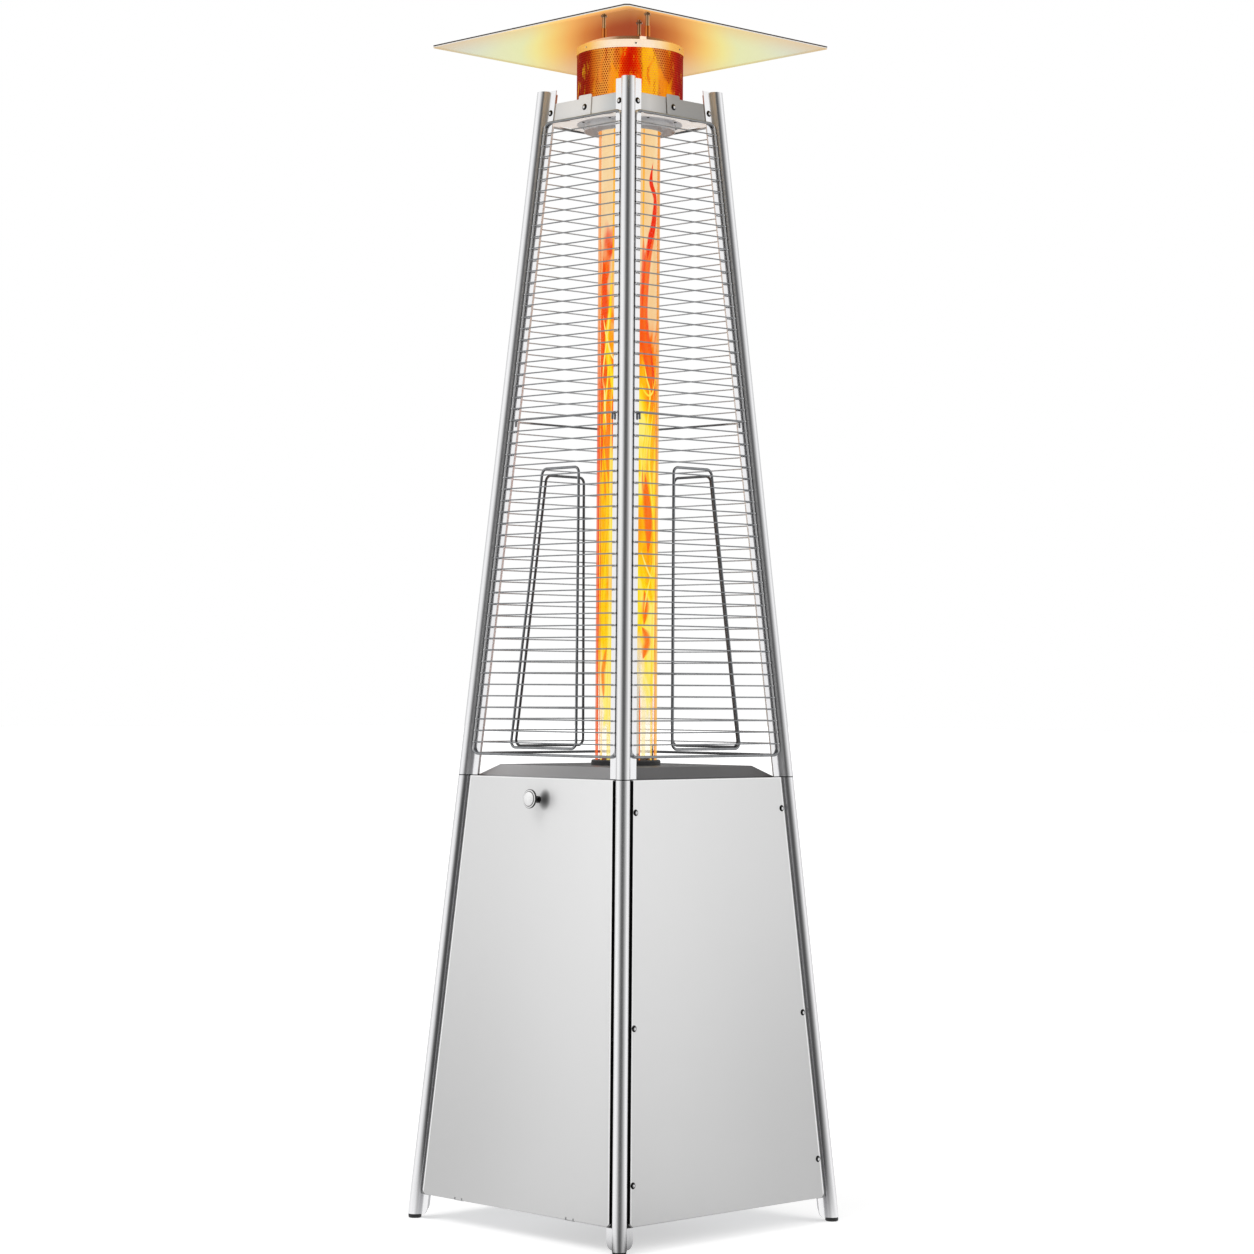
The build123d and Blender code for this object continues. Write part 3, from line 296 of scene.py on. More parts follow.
    def show(self, shader):
        """Makes a shader the surface, and gives the finished material or world"""
        self.tree.links.new(shader.outputs[0], self.output.inputs["Surface"])
        return self.holder

    def solid(self, colour, **settings):
        """A Principled surface"""
        return self.show(self.add("BsdfPrincipled", {"Base Color": colour, **settings}))

    def glow(self, shader):
        """A surface that shines, but isn't a lamp for the others"""
        self.holder.cycles.emission_sampling = "NONE"
        return self.show(shader)

    def light(self, colour, strength=1.0, cover=1.0):
        """Light of a colour, which the eye sees through where the cover is low"""
        shine = self.add("Emission", {"Color": colour, "Strength": strength})
        return self.glow(self.mix(cover, self.add("BsdfTransparent"), shine))


def steel(name, light, dark, rough, grain=(260, 260, 5), metallic=1.0):
    """Brushed sheet or bar: long fine scratches, broad soft patches and a few smudges"""
    paint = Paint(name)
    lines = paint.noise(1, grain, detail=4, rough=0.6)
    patches = paint.noise(5, (1, 1, 0.6), detail=2)
    smudges = paint.noise(23, (1, 1, 0.5), detail=5, rough=0.65)
    colour = paint.shades(paint.plus(paint.times(lines, 0.45), paint.times(patches, 0.55)), dark, light)
    wear_and_sheen = paint.plus(paint.times(smudges, 0.6), paint.times(lines, 0.4))
    roughness = paint.spread(wear_and_sheen, rough - 0.08, rough + 0.08)
    normal = paint.bump(lines, 0.05, 0.00006)
    return paint.solid(colour, Metallic=metallic, Roughness=roughness, Normal=normal)


def plain(name, light, dark, rough, scale, metallic=0.0, depth=0.0001, strength=0.08):
    """Moulded, cast or painted: a fine grain over soft variation"""
    paint = Paint(name)
    fine = paint.noise(scale, detail=4, rough=0.6)
    broad = paint.noise(scale / 12, detail=2)
    colour = paint.shades(paint.plus(paint.times(fine, 0.5), paint.times(broad, 0.5)), dark, light)
    roughness = paint.spread(fine, rough - 0.06, rough + 0.06)
    normal = paint.bump(fine, strength, depth)
    return paint.solid(colour, Metallic=metallic, Roughness=roughness, Normal=normal)


def panel_paint():
    """Cabinet sheet: satin steel, painted lighter towards its top and by the near and far posts, with painted
    highlights along its folded edges, painted shadow on its edges there and the door knob's painted shadow
    """
    paint = Paint("cabinet_sheet")
    lines = paint.noise(1, (420, 420, 7), detail=4, rough=0.6)
    patches = paint.noise(3.2, (1, 1, 0.5), detail=2)
    wide, deep, height = paint.spot()
    # Painted light: the sheet grows lighter towards its top and by the near and far posts
    rise = paint.fit(height, *PANEL_RISE, 0.0, 0.58)
    near = paint.fit(paint.size(paint.along(TOWARDS)), *PANEL_NEAR, 0.0, 0.34)
    tone = paint.plus(rise, near, paint.times(patches, 0.06), paint.times(lines, 0.04))
    colour = paint.ramp(tone, ((0.05, "#cccccc"), (0.5, "#e5e5e5"), (1.0, "#fafafa")))
    across = paint.from_post(wide, deep, height)
    # Painted highlight: white along the top and side folded edges
    fold = paint.most(paint.fit(height, *TOP_FOLD), paint.fit(across, *SIDE_FOLD))
    colour = paint.blend(fold, colour, "#ffffff")
    # Painted shadow: the side walls by the near and far posts painted black
    away = paint.minus(1.0, paint.by_side_posts())
    wall = paint.times(paint.fit(across, *SIDE_WALL), away, paint.fit(height, *BELOW_TOP))
    colour = paint.blend(wall, colour, "#010101")
    # Painted shadow of the door knob, soft and dark, on the door's outer face
    x, y, z = paint.parts(paint.place())
    aside = paint.over(paint.minus(x, SHADE_ASIDE), SHADE_HALF_WIDTH)
    below = paint.over(paint.minus(z, KNOB_LEVEL - SHADE_BELOW), SHADE_HALF_HEIGHT)
    soft = paint.fit(paint.plus(paint.square(aside), paint.square(below)), 1.15, -0.2)
    front = paint.fit(paint.facing(DOORWARD), 0.3, 0.6)
    colour = paint.blend(paint.times(soft, paint.fit(y, *DOOR_FACE), 0.9, front), colour, "#2e2e2e")
    metallic = paint.times(paint.minus(1.0, wall), 0.5)
    normal = paint.bump(lines, 0.04, 0.00004)
    return paint.solid(colour, Metallic=metallic, Roughness=paint.spread(lines, 0.36, 0.44), Normal=normal)


def knob_paint():
    """Door knob: chrome with painted reflections, a bright stepped face with dark rings and rim, and a neck
    painted dark as in shade
    """
    paint = Paint("knob_chrome")
    grain = paint.noise(300)
    x, y, z = paint.parts(paint.place())
    out = paint.over(paint.length(x, paint.minus(z, KNOB_LEVEL)), KNOB_RADIUS)
    # Painted reflections: bright and dark rings across the knob's face, and a dark rim
    steps = (
        (0.7, "#ffffff"), (0.76, "#6e6e6e"), (0.8, "#5c5c5c"), (0.84, "#fafafa"), (0.91, "#fcfcfc"),
        (0.95, "#202020"), (1.0, "#080808"),
    )
    face = paint.ramp(out, steps)
    # Painted shade: the neck and the back of the knob dark
    neck = paint.shades(grain, "#101010", "#1c1c1c")
    shown = paint.times(paint.fit(paint.facing(DOORWARD), 0.45, 0.6), paint.fit(y, *KNOB_FRONT))
    colour = paint.blend(shown, neck, face)
    return paint.solid(colour, Metallic=paint.times(shown, 0.15), Roughness=paint.spread(grain, 0.2, 0.28))


def bar_paint():
    """Corner posts: polished bars, with painted shade on their inner sides, painted shadow between them and
    the panels and along the edges of the near and far lower bars, and a dark joint
    """
    paint = Paint("post_steel")
    lines = paint.noise(1, (500, 500, 9), rough=0.6)
    patches = paint.noise(4, (1, 1, 0.3), detail=2)
    shade = paint.plus(paint.times(lines, 0.4), paint.times(patches, 0.6))
    wide, deep, height = paint.spot()
    out = paint.add("VectorMath", {0: paint.flat_place()}, operation="NORMALIZE").outputs[0]
    outward = paint.dot(paint.normal(), out)
    # Painted shade: the bars darker on their inner sides, more so on the lower posts
    inner = paint.fit(outward, 0.2, -0.25)
    lower = paint.fit(height, *LOWER_POSTS)
    inner_shade = paint.blend(lower, "#f0f0f1", "#bcbcbe")
    colour = paint.blend(inner, paint.shades(shade, "#eeeef0", "#fbfbfc"), inner_shade)
    half = paint.half_width(height)
    away = paint.length(paint.minus(wide, half), paint.minus(deep, half))
    above_foot = paint.fit(height, *ABOVE_FOOT)
    beside = paint.by_side_posts()
    # Painted shadow: black along the edges of the near and far lower bars, and dark between the bars and the
    # panels, less dark at the side posts
    limb_shadow = paint.times(paint.fit(outward, 0.34, 0.22), lower, paint.minus(1.0, beside), above_foot)
    gap_shadow = paint.most(paint.times(paint.fit(away, *PAST_BAR), lower, above_foot), limb_shadow)
    colour = paint.blend(gap_shadow, colour, paint.blend(beside, "#343434", "#9a9a9a"))
    colour = paint.blend(limb_shadow, colour, "#020202")
    seam = paint.fit(paint.size(paint.minus(height, JOINT)), *JOINT_SEAM, 1.0, 0.0)
    colour = paint.blend(seam, colour, "#3c3c3e")
    upper_inner = paint.times(inner, paint.minus(1.0, lower))
    roughness = paint.plus(paint.spread(lines, 0.14, 0.2), paint.times(upper_inner, 0.5))
    settings = {"Metallic": paint.minus(1.0, gap_shadow), "Specular IOR Level": 0.05}
    return paint.solid(colour, Roughness=roughness, Normal=paint.bump(lines, 0.02, 0.00003), **settings)


def guard_paint(name, light, dark):
    """Guards: round wire, with a painted highlight on the frame wire, a darker loop, and painted shadow on
    the cross wires beside the posts
    """
    paint = Paint(name)
    grain = paint.noise(60)
    wide, deep, height = paint.spot()
    out = paint.minus(paint.most(wide, deep), paint.half_width(height))
    across = paint.from_post(wide, deep, height)
    loop = paint.times(paint.fit(out, *BEHIND_CROSS_WIRES), paint.fit(across, *INSIDE_FRAME))
    # Painted shadow: black on the cross wires close beside the posts, above the plate
    ends = paint.times(paint.fit(across, *WIRE_ENDS), paint.fit(height, *ABOVE_PLATE))
    # Painted highlight: the frame wire light grey and less metallic
    frame_wire_highlight = paint.times(paint.fit(across, *FRAME_INNER), paint.fit(across, *FRAME_OUTER))
    colour = paint.blend(loop, paint.shades(grain, dark, light), "#616264")
    colour = paint.blend(ends, colour, "#161616")
    colour = paint.blend(frame_wire_highlight, colour, "#d4d4d5")
    metallic = paint.minus(0.85, paint.times(frame_wire_highlight, 0.55))
    return paint.solid(colour, Metallic=metallic, Roughness=paint.spread(grain, 0.26, 0.36))


def band_paint():
    """Top band and its plate: pressed sheet with painted light and shade changing from side to side, and
    painted light with a painted glow on the plate's underside
    """
    paint = Paint("band_sheet")
    lines = paint.noise(1, (60, 60, 420))
    light_and_shade_tones = (
        (0.03, "#949494"), (0.055, "#e6e6e6"), (0.14, "#f0f0f0"), (0.28, "#ececeb"), (0.385, "#cfd4d8"),
        (0.5, "#c2c6c9"), (0.64, "#d6d6d6"), (0.78, "#a2a2a1"), (0.93, "#989897"), (0.985, "#cccccc"),
    )
    # Painted light and shade across the band, changing from side to side
    tone = paint.ramp(paint.fit(paint.along(SIDEWAYS), *BAND_SIDES), light_and_shade_tones)
    wear_and_sheen = paint.blend(paint.times(lines, 0.06), tone, "#ffffff")
    # Painted light under the plate: near white, with a painted glow
    under = paint.fit(paint.facing(DOWN), 0.5, 0.9)
    wear_and_sheen = paint.blend(under, wear_and_sheen, "#fafafa")
    metallic = paint.minus(0.6, paint.times(under, 0.5))
    settings = {"Emission Color": "#fff4e8", "Emission Strength": paint.times(under, 0.3)}
    return paint.solid(wear_and_sheen, Metallic=metallic, Roughness=paint.spread(lines, 0.3, 0.34), **settings)


def plate_paint():
    """Burner plate: dark satin sheet, with painted light on its bevel: lighter where it faces left and on the
    left side
    """
    paint = Paint("plate_sheet")
    grain = paint.noise(7)
    # Painted light: the bevel lighter where it faces left, and lighter still on the left side
    turned = paint.fit(paint.facing(SIDEWAYS), -0.35, 0.35)
    left = paint.fit(paint.along(SIDEWAYS), *PLATE_LEFT)
    light = paint.blend(left, paint.shades(grain, "#a8a8a9", "#b4b4b5"), "#c8c8c9")
    dark = paint.shades(grain, "#6a6a6b", "#747475")
    level = paint.fit(paint.facing(UP), 0.93, 0.97)
    colour = paint.blend(level, paint.blend(turned, light, dark), "#5a5a5b")
    return paint.solid(colour, Metallic=0.5, Roughness=paint.spread(grain, 0.34, 0.42))


def screw_paint():
    """Screw heads: a painted highlight where they face straight out, and painted shade round their rims"""
    paint = Paint("screw_steel")
    grain = paint.noise(300)
    # Painted highlight where the head faces straight out, painted shade round its rim
    level = paint.most(*[paint.size(part) for part in paint.parts(paint.normal())])
    middle = paint.fit(level, 0.9, 0.96)
    colour = paint.blend(middle, "#0b0b0c", paint.shades(grain, "#d4d4d6", "#e9e9ea"))
    settings = {"Metallic": paint.times(middle, 0.8), "Specular IOR Level": 0.3}
    return paint.solid(colour, Roughness=paint.spread(grain, 0.2, 0.3), **settings)


def stud_paint(name, light, middle, dark):
    """Round studs beneath the hood: painted bright and dark reflection bands along their length"""
    paint = Paint(name)
    grain = paint.noise(1, (200, 200, 40))
    # Painted reflections: bright and dark bands by the way the stud faces
    turned = paint.plus(paint.facing(SIDEWAYS), paint.times(grain, 0.15))
    light_and_shade_tones = (
        (0.06, middle), (0.24, light), (0.4, light), (0.52, dark), (0.66, dark), (0.8, middle), (0.92, light),
    )
    colour = paint.ramp(paint.fit(turned, -1.0, 1.0), light_and_shade_tones)
    return paint.solid(colour, Metallic=0.4, Roughness=paint.spread(grain, 0.28, 0.36))


def hood_paint():
    """Hood sheet: steel outside; underneath, the colours of heated steel with a painted glow and painted
    reflection of the fire, and a painted highlight and dark line on its outer lip
    """
    paint = Paint("hood_sheet")
    lines = paint.noise(1, (160, 160, 40), detail=4, rough=0.6)
    patches = paint.noise(5, detail=2)
    wide, deep, height = paint.spot()
    towards = paint.along(TOWARDS)
    behind = paint.fit(towards, *HOOD_BEHIND)
    across = paint.times(paint.along(SIDEWAYS), paint.minus(1.0, paint.times(behind, 0.1)))
    depth = paint.times(towards, paint.minus(0.62, paint.times(behind, 0.5)))
    share = paint.over(paint.length(across, depth), HOOD_HALF * sqrt(2))
    tints = (
        (0.0, "#9a3a0c"), (0.1, "#a44612"), (0.16, "#b65e20"), (0.22, "#cc7c34"), (0.29, "#e4a654"),
        (0.36, "#ecc870"), (0.43, "#e7dd90"), (0.5, "#dcdfac"), (0.6, "#dadcb2"), (0.7, "#d4d7bc"),
        (0.8, "#ced0c0"), (0.97, "#c6c6bb"),
    )
    # Painted glow and reflection of the fire under the hood: deep orange at the middle to pale at the
    # corners, warmer towards the camera's side and paler behind
    heat_and_glow = paint.ramp(paint.plus(share, paint.swing(patches, 0.05)), tints)
    heat_and_glow = paint.blend(paint.fit(towards, *HOOD_NEAR, 0.0, 0.6), heat_and_glow, "#e8b468")
    heat_and_glow = paint.blend(paint.fit(towards, *HOOD_FAR, 0.0, 0.5), heat_and_glow, "#d2cab2")
    under = paint.fit(paint.facing(DOWN), 0.2, 0.5)
    turned = paint.dot(paint.normal(), paint.flat_place())
    edge = paint.fit(paint.most(wide, deep), *HOOD_EDGE)
    # Painted glow on the inner lip; on the outer lip a painted highlight with a dark line above it
    lip = paint.times(paint.fit(turned, -0.05, -0.1), edge)
    brim = paint.times(paint.fit(turned, 0.05, 0.1), edge)
    outside = paint.shades(lines, "#d3d5d8", "#dfe1e3")
    colour = paint.blend(under, outside, paint.blend(0.6, heat_and_glow, "#000000"))
    colour = paint.blend(lip, colour, "#c2b590")
    colour = paint.blend(brim, colour, paint.blend(paint.fit(height, *HOOD_FOLD), "#fbf8f2", "#40352c"))
    dull = paint.most(lip, brim, paint.fit(under, 0.0, 1.0, 0.45, 1.0))
    metallic = paint.minus(1.0, dull)
    # Painted glow: the underside and the inner lip shine with these colours
    glow = paint.plus(paint.times(paint.minus(under, paint.times(under, lip)), 0.86), paint.times(lip, 0.5))
    settings = {"Emission Color": heat_and_glow, "Emission Strength": glow, "Specular IOR Level": 0.05}
    return paint.solid(colour, Metallic=metallic, Roughness=paint.spread(lines, 0.3, 0.36), **settings)


def lid_paint():
    """Screen lid: polished steel with painted light from the fire: its rim straw to amber at its two flanks,
    painted light and dark reflection bands across its top, and a painted glow over it all
    """
    paint = Paint("lid_sheet")
    lines = paint.noise(1, (60, 60, 400))
    side = paint.over(paint.along(SIDEWAYS), SCREEN_RADIUS)
    # Painted light from the fire on the rim: straw to amber at its two flanks
    tints = ((0.35, "#ffffff"), (0.55, "#fdf0d2"), (0.75, "#f8cd74"), (0.92, "#eeb14c"), (1.0, "#d98c30"))
    heat_and_glow = paint.ramp(paint.size(side), tints)
    rim = paint.fit(paint.height(), *LID_RIM)
    wear_and_sheen = paint.plus(side, paint.times(lines, 0.02))
    # Painted reflections: light and dark bands across the lid's top, with a white highlight
    light_and_shade_tones = (
        (0.06, "#c88a3c"), (0.16, "#d8c49c"), (0.3, "#c4bfb6"), (0.4, "#5c5854"), (0.59, "#3a3734"),
        (0.6, "#ffffff"), (0.65, "#ffffff"), (0.66, "#46423e"), (0.8, "#80664a"), (0.94, "#c8924c"),
    )
    dome_reflections = paint.ramp(paint.times(paint.plus(wear_and_sheen, 1.0), 0.5), light_and_shade_tones)
    colour = paint.blend(rim, dome_reflections, heat_and_glow)
    # Painted glow, stronger on the top than on the rim
    strength = paint.fit(rim, 0.0, 1.0, 0.5, 0.22)
    settings = {"Emission Color": colour, "Emission Strength": strength, "Metallic": 0.08}
    return paint.solid(colour, Roughness=paint.spread(lines, 0.2, 0.28), **settings)


def glass_paint():
    """Clear tube: sees through, with reflections that grow towards its edges and a painted glow of firelight
    in its flanks
    """
    paint = Paint("tube_glass")
    smears = paint.noise(9, (1, 1, 0.25), detail=4)
    clear = paint.add("BsdfTransparent", {"Color": paint.shades(smears, "#fffdf8", "#fffefc")})
    shine = paint.add("BsdfGlossy", {"Color": "#ffffff", "Roughness": paint.spread(smears, 0.01, 0.04)})
    edge = paint.add("Fresnel", {"IOR": 1.35}).outputs[0]
    front = paint.minus(1.0, paint.add("NewGeometry").outputs["Backfacing"])
    both = paint.mix(paint.times(edge, front, 0.5), clear, shine)
    # Painted glow: orange firelight shining in the tube's two flanks
    side = paint.over(paint.along(SIDEWAYS), GLASS_RADIUS)
    fall = paint.fit(paint.height(), *GLASS_FALL)
    left = paint.ramp(fall, ((0.1, "#f8a256"), (0.5, "#f2581c"), (0.8, "#f26a2c")))
    right = paint.ramp(fall, ((0.1, "#ee9a30"), (0.5, "#f6a83c"), (0.8, "#f4b64e")))
    warm = paint.blend(paint.fit(side, -0.5, 0.5), left, right)
    away = paint.plus(paint.size(side), paint.swing(smears, 0.06))
    flank_glow = paint.times(paint.fit(away, 0.9, 0.935), paint.fit(away, 1.01, 0.975, 0.45, 1.0), 0.85, front)
    lit = paint.add("Emission", {"Color": warm, "Strength": 1.0})
    return paint.glow(paint.mix(flank_glow, both, lit))


def flame_body_paint():
    """The fire in the tube: yellow and orange folds below, peach haze above"""
    paint = Paint("flame_body")
    height = paint.height()
    wander = paint.add("TexNoise", {"Vector": paint.place(), "Scale": 7.0, "Detail": 2.0}).outputs["Color"]
    shift = paint.add("VectorMath", {0: wander, 1: (0.07, 0.07, 0.16)}, operation="MULTIPLY").outputs[0]
    moved = paint.add("VectorMath", {0: paint.place(), 1: shift}, operation="ADD").outputs[0]
    folds = paint.noise(1, (30, 30, 5.5), detail=2, rough=0.45, vector=moved)
    wisps = paint.noise(1, (62, 62, 9), detail=1, vector=moved)
    tone = paint.plus(folds, paint.fit(height, *FLAME_RISE, 0.26, -0.1), paint.swing(wisps, 0.35))
    tints = (
        (0.2, "#f0420c"), (0.36, "#fb6a0a"), (0.5, "#ff9610"), (0.62, "#ffbd10"), (0.74, "#ffe11c"),
        (0.88, "#fff07a"),
    )
    ragged = paint.plus(height, paint.swing(folds, 0.5))
    hazy = paint.fit(paint.plus(ragged, paint.times(paint.along(SIDEWAYS), 1.3)), *FLAME_HAZE)
    pale = paint.fit(ragged, *FLAME_PALE)
    colour = paint.blend(hazy, paint.ramp(tone, tints), paint.shades(folds, "#fae0b2", "#f5c88c"))
    colour = paint.blend(pale, colour, "#fef3dd")
    cover = paint.times(paint.minus(1.0, paint.times(pale, 0.72)), paint.minus(1.0, paint.times(hazy, 0.12)))
    return paint.light(colour, cover=cover)


# What each point of a lick says: from -1 to 1 across it, its tone, its cover and how soft its edge is
LICK_MARKS = ("across", "tone", "cover", "soft")


def tongue_paint():
    """Licks of fire: their own tone, bright along the middle and thin at the edges and tips"""
    paint = Paint("flame_tongues")
    marks = [paint.add("Attribute", attribute_name=mark).outputs["Fac"] for mark in LICK_MARKS]
    across, tone, cover, soft = marks
    grain = paint.noise(1, (46, 46, 8), detail=2)
    away = paint.size(across)
    value = paint.minus(paint.plus(tone, paint.swing(grain, 0.2)), paint.times(away, 0.12))
    tints = (
        (0.04, "#ee2a12"), (0.22, "#f8501a"), (0.4, "#fd8412"), (0.58, "#ffb30f"), (0.76, "#ffe016"),
        (0.92, "#fff5a8"),
    )
    inner = paint.math("DIVIDE", paint.minus(1.0, away), soft, clamp=True)
    return paint.light(paint.ramp(value, tints), cover=paint.times(paint.fit(inner, 0.0, 1.0), cover))


# Licks on the screen: middle at their foot and at their tip (shares of the radius), foot and tip (shares
# of the height), half width, bend, colour
SCREEN_LICKS = (
    (-0.04, 0.02, 0.25, 1.2, 0.24, 0.03, "#f01800"),
    (0.02, 0.08, 0.55, 1.1, 0.15, -0.04, "#c80a00"),
    (0.31, 0.36, 0.2, 1.2, 0.2, 0.06, "#ffc000"),
    (-0.38, -0.24, 0.15, 0.76, 0.16, 0.05, "#fa9400"),
    (-0.2, -0.26, 0.2, 0.7, 0.08, -0.04, "#ffae00"),
    (0.66, 0.58, 0.15, 0.72, 0.16, 0.05, "#fa9400"),
    (0.8, 0.74, 0.15, 0.58, 0.07, -0.03, "#f8a400"),
    (-0.7, -0.64, 0.2, 0.62, 0.035, 0.03, "#d8780e"),
    (-0.52, -0.5, 0.45, 0.95, 0.05, -0.03, "#e0701c"),
    (0.36, 0.4, 0.4, 0.85, 0.035, -0.02, "#f04c00"),
    (0.1, 0.08, 0.2, 0.55, 0.05, 0.04, "#ff6a00"),
)


def screen_colours(paint, flanks, share):
    """Colours of the fire in the screen: its licks, shown by a share, over the colours from flank to flank"""
    side = paint.over(paint.along(SIDEWAYS), SCREEN_RADIUS)
    rise = paint.over(paint.minus(paint.height(), SCREEN_LOW), SCREEN_HIGH - SCREEN_LOW)
    colour = paint.ramp(paint.fit(side, -1.0, 1.0), flanks)
    shaky = paint.plus(side, paint.swing(paint.noise(1, (42, 42, 22), detail=2), 0.2))
    for foot, tip, low, high, half, bend, tint in SCREEN_LICKS:
        way = paint.over(paint.minus(rise, low), high - low)
        middle = paint.plus(foot, paint.times(way, tip - foot))
        curl = paint.times(paint.math("SINE", paint.times(way, 5.0)), bend)
        off = paint.size(paint.minus(shaky, paint.plus(middle, curl)))
        inside = paint.minus(paint.times(paint.minus(1.0, paint.square(way)), half), off)
        shown = paint.times(paint.fit(inside, -0.015, 0.045), paint.fit(way, -0.02, 0.05), share)
        colour = paint.blend(shown, colour, tint)
    streaks = paint.noise(1, (110, 110, 30))
    colour = paint.blend(paint.fit(streaks, 0.42, 0.3, 0.0, 0.5), colour, "#b01c00")
    return paint.blend(paint.fit(streaks, 0.56, 0.74, 0.0, 0.5), colour, "#ffc21c")


def screen_sheet_paint():
    """Perforated sheet, with a painted glow as lit by the fire behind it"""
    paint = Paint("screen_sheet")
    flanks = (
        (0.0, "#8c1204"), (0.012, "#8e1604"), (0.04, "#9e2806"), (0.07, "#d06c18"), (0.13, "#e8983c"),
        (0.24, "#ee9840"), (0.38, "#de6606"), (0.5, "#8c1002"), (0.62, "#de6c06"), (0.78, "#e88c40"),
        (0.88, "#d88038"), (0.94, "#cc5a0a"), (0.985, "#b01c10"), (1.0, "#8a0a06"),
    )
    colour = screen_colours(paint, flanks, 0.42)
    # Painted glow: the sheet shines with the fire's colours
    strength = paint.spread(paint.noise(900, detail=2), 0.84, 0.92)
    settings = {"Emission Color": colour, "Emission Strength": strength, "Specular IOR Level": 0.05}
    paint.holder.cycles.emission_sampling = "NONE"
    return paint.solid(paint.blend(0.75, colour, "#000000"), Roughness=0.55, **settings)


def screen_fire_paint():
    """The fire that is seen through the holes: deep red, with bright licks"""
    paint = Paint("screen_fire")
    flanks = (
        (0.0, "#380200"), (0.04, "#660c02"), (0.09, "#7a2604"), (0.2, "#7c2c06"), (0.34, "#9a3a04"),
        (0.5, "#f01c00"), (0.66, "#963604"), (0.82, "#7c2406"), (0.94, "#7a1402"), (0.985, "#5c0400"),
        (1.0, "#380200"),
    )
    colour = screen_colours(paint, flanks, 1.0)
    return paint.light(colour, paint.spread(paint.noise(60, detail=2), 0.94, 1.08))


# The paint of each material slot, and of the nodes that look unlike their slot
SLOT_PAINTS = {
    "guard_wire": guard_paint("guard_rod", "#9b9da0", "#838587"),
    "plain_steel": steel("mill_steel", "#b9bbbe", "#9c9ea2", 0.42),
    "band_steel": band_paint(),
    "fastener_steel": screw_paint(),
    "burner_steel": steel("burner_tint", "#8e7c6c", "#6a5a50", 0.35, grain=(90, 90, 90)),
    "probe_steel": steel("probe_rod", "#a4a4a6", "#858588", 0.3, grain=(200, 200, 20)),
    "black_plastic": plain("moulded_black", "#1e1e1f", "#121213", 0.5, 600),
    "button_plastic": plain("button_red", "#a01510", "#86100c", 0.22, 400),
    "black_enamel": plate_paint(),
    "gasket_fibre": plain("gasket_felt", "#dedbd0", "#bdb9ac", 0.9, 900, depth=0.0004, strength=0.6),
    "brass": steel("turned_brass", "#d9b25e", "#b98f3c", 0.25, grain=(200, 200, 300)),
    "cast_aluminium": plain("cast_block", "#b6b8bb", "#9a9ca0", 0.45, 500, metallic=0.9, depth=0.0002),
    "copper_tube": steel("drawn_tube", "#b8babd", "#9da0a4", 0.3, grain=(120, 120, 120)),
    "magnet": plain("magnet_black", "#3a3a3c", "#28282a", 0.4, 300, metallic=0.6),
    "chrome": knob_paint(),
    "brushed_steel": bar_paint(),
    "lid_steel": lid_paint(),
    "hood_steel": hood_paint(),
    "glass": glass_paint(),
    "screen_steel": screen_sheet_paint(),
}
# Painted light: the guards on the far sides get lighter copies of the same wire
LIT_REAR_GUARDS = guard_paint("lit_rear_guard_rod", "#c6c8ca", "#b0b2b4")
STUDS = stud_paint("stud_steel", "#f0eee9", "#8c8883", "#38342f")
NODE_PAINTS = {
    "back_guard": LIT_REAR_GUARDS,
    "left_guard": LIT_REAR_GUARDS,
    "hood_bolts": STUDS,
    "hood_nuts": STUDS,
    "hood_spacers": stud_paint("spacer_steel", "#f0b47c", "#c06c34", "#5a2c12"),
    "tube_collar": steel("collar_sheet", "#ececed", "#d8d8da", 0.35, metallic=0.3),
    "tube_seat": plain("seat_black", "#3c3c3d", "#2e2e2f", 0.5, 300),
}
NODE_PAINTS.update(dict.fromkeys(("door_panel", "left_panel", "right_panel", "back_panel"), panel_paint()))

for subpart in frame["record"]["subparts"]:
    node = subpart["node"]
    paint = NODE_PAINTS.get(node) or SLOT_PAINTS[subpart["material_slot"]]
    if not nodes[node].material_slots:
        nodes[node].data.materials.append(paint)
    for held in nodes[node].material_slots:
        held.material = paint


# Added pieces


def add_object(name, data):
    piece = bpy.data.objects.new(name, data)
    scene.collection.objects.link(piece)
    return piece


def mesh_piece(name, points, faces, paint, smooth=True):
    """A new piece that rides on the tower"""
    mesh = bpy.data.meshes.new(name)
    mesh.from_pydata(points, [], faces)
    mesh.validate()
    mesh.update()
    if smooth:
        mesh.shade_smooth()
    mesh.materials.append(paint)
    piece = add_object(name, mesh)
    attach(piece, "tower")
    return piece


def round_point(turn, radius, height):
    """A point round the tube's axis. Turn 0 faces the camera's side, and grows to its right."""
    flat = TOWARDS * (radius * cos(turn)) + SIDEWAYS * (radius * sin(turn))
    return (flat.x, flat.y, height)


# Perforated screen: staggered six-sided holes through a thin sheet, with its foot ring
HOLE_COLUMNS = 132
HOLE_ROWS = 29
HOLE_RADIUS = 0.00176
HOLE_SIDES = 6
SHEET = 0.0008
HOLES_LOW = SCREEN_LOW + 0.0045
HOLES_HIGH = SCREEN_HIGH - 0.0135
FOOT_REACH = 0.014


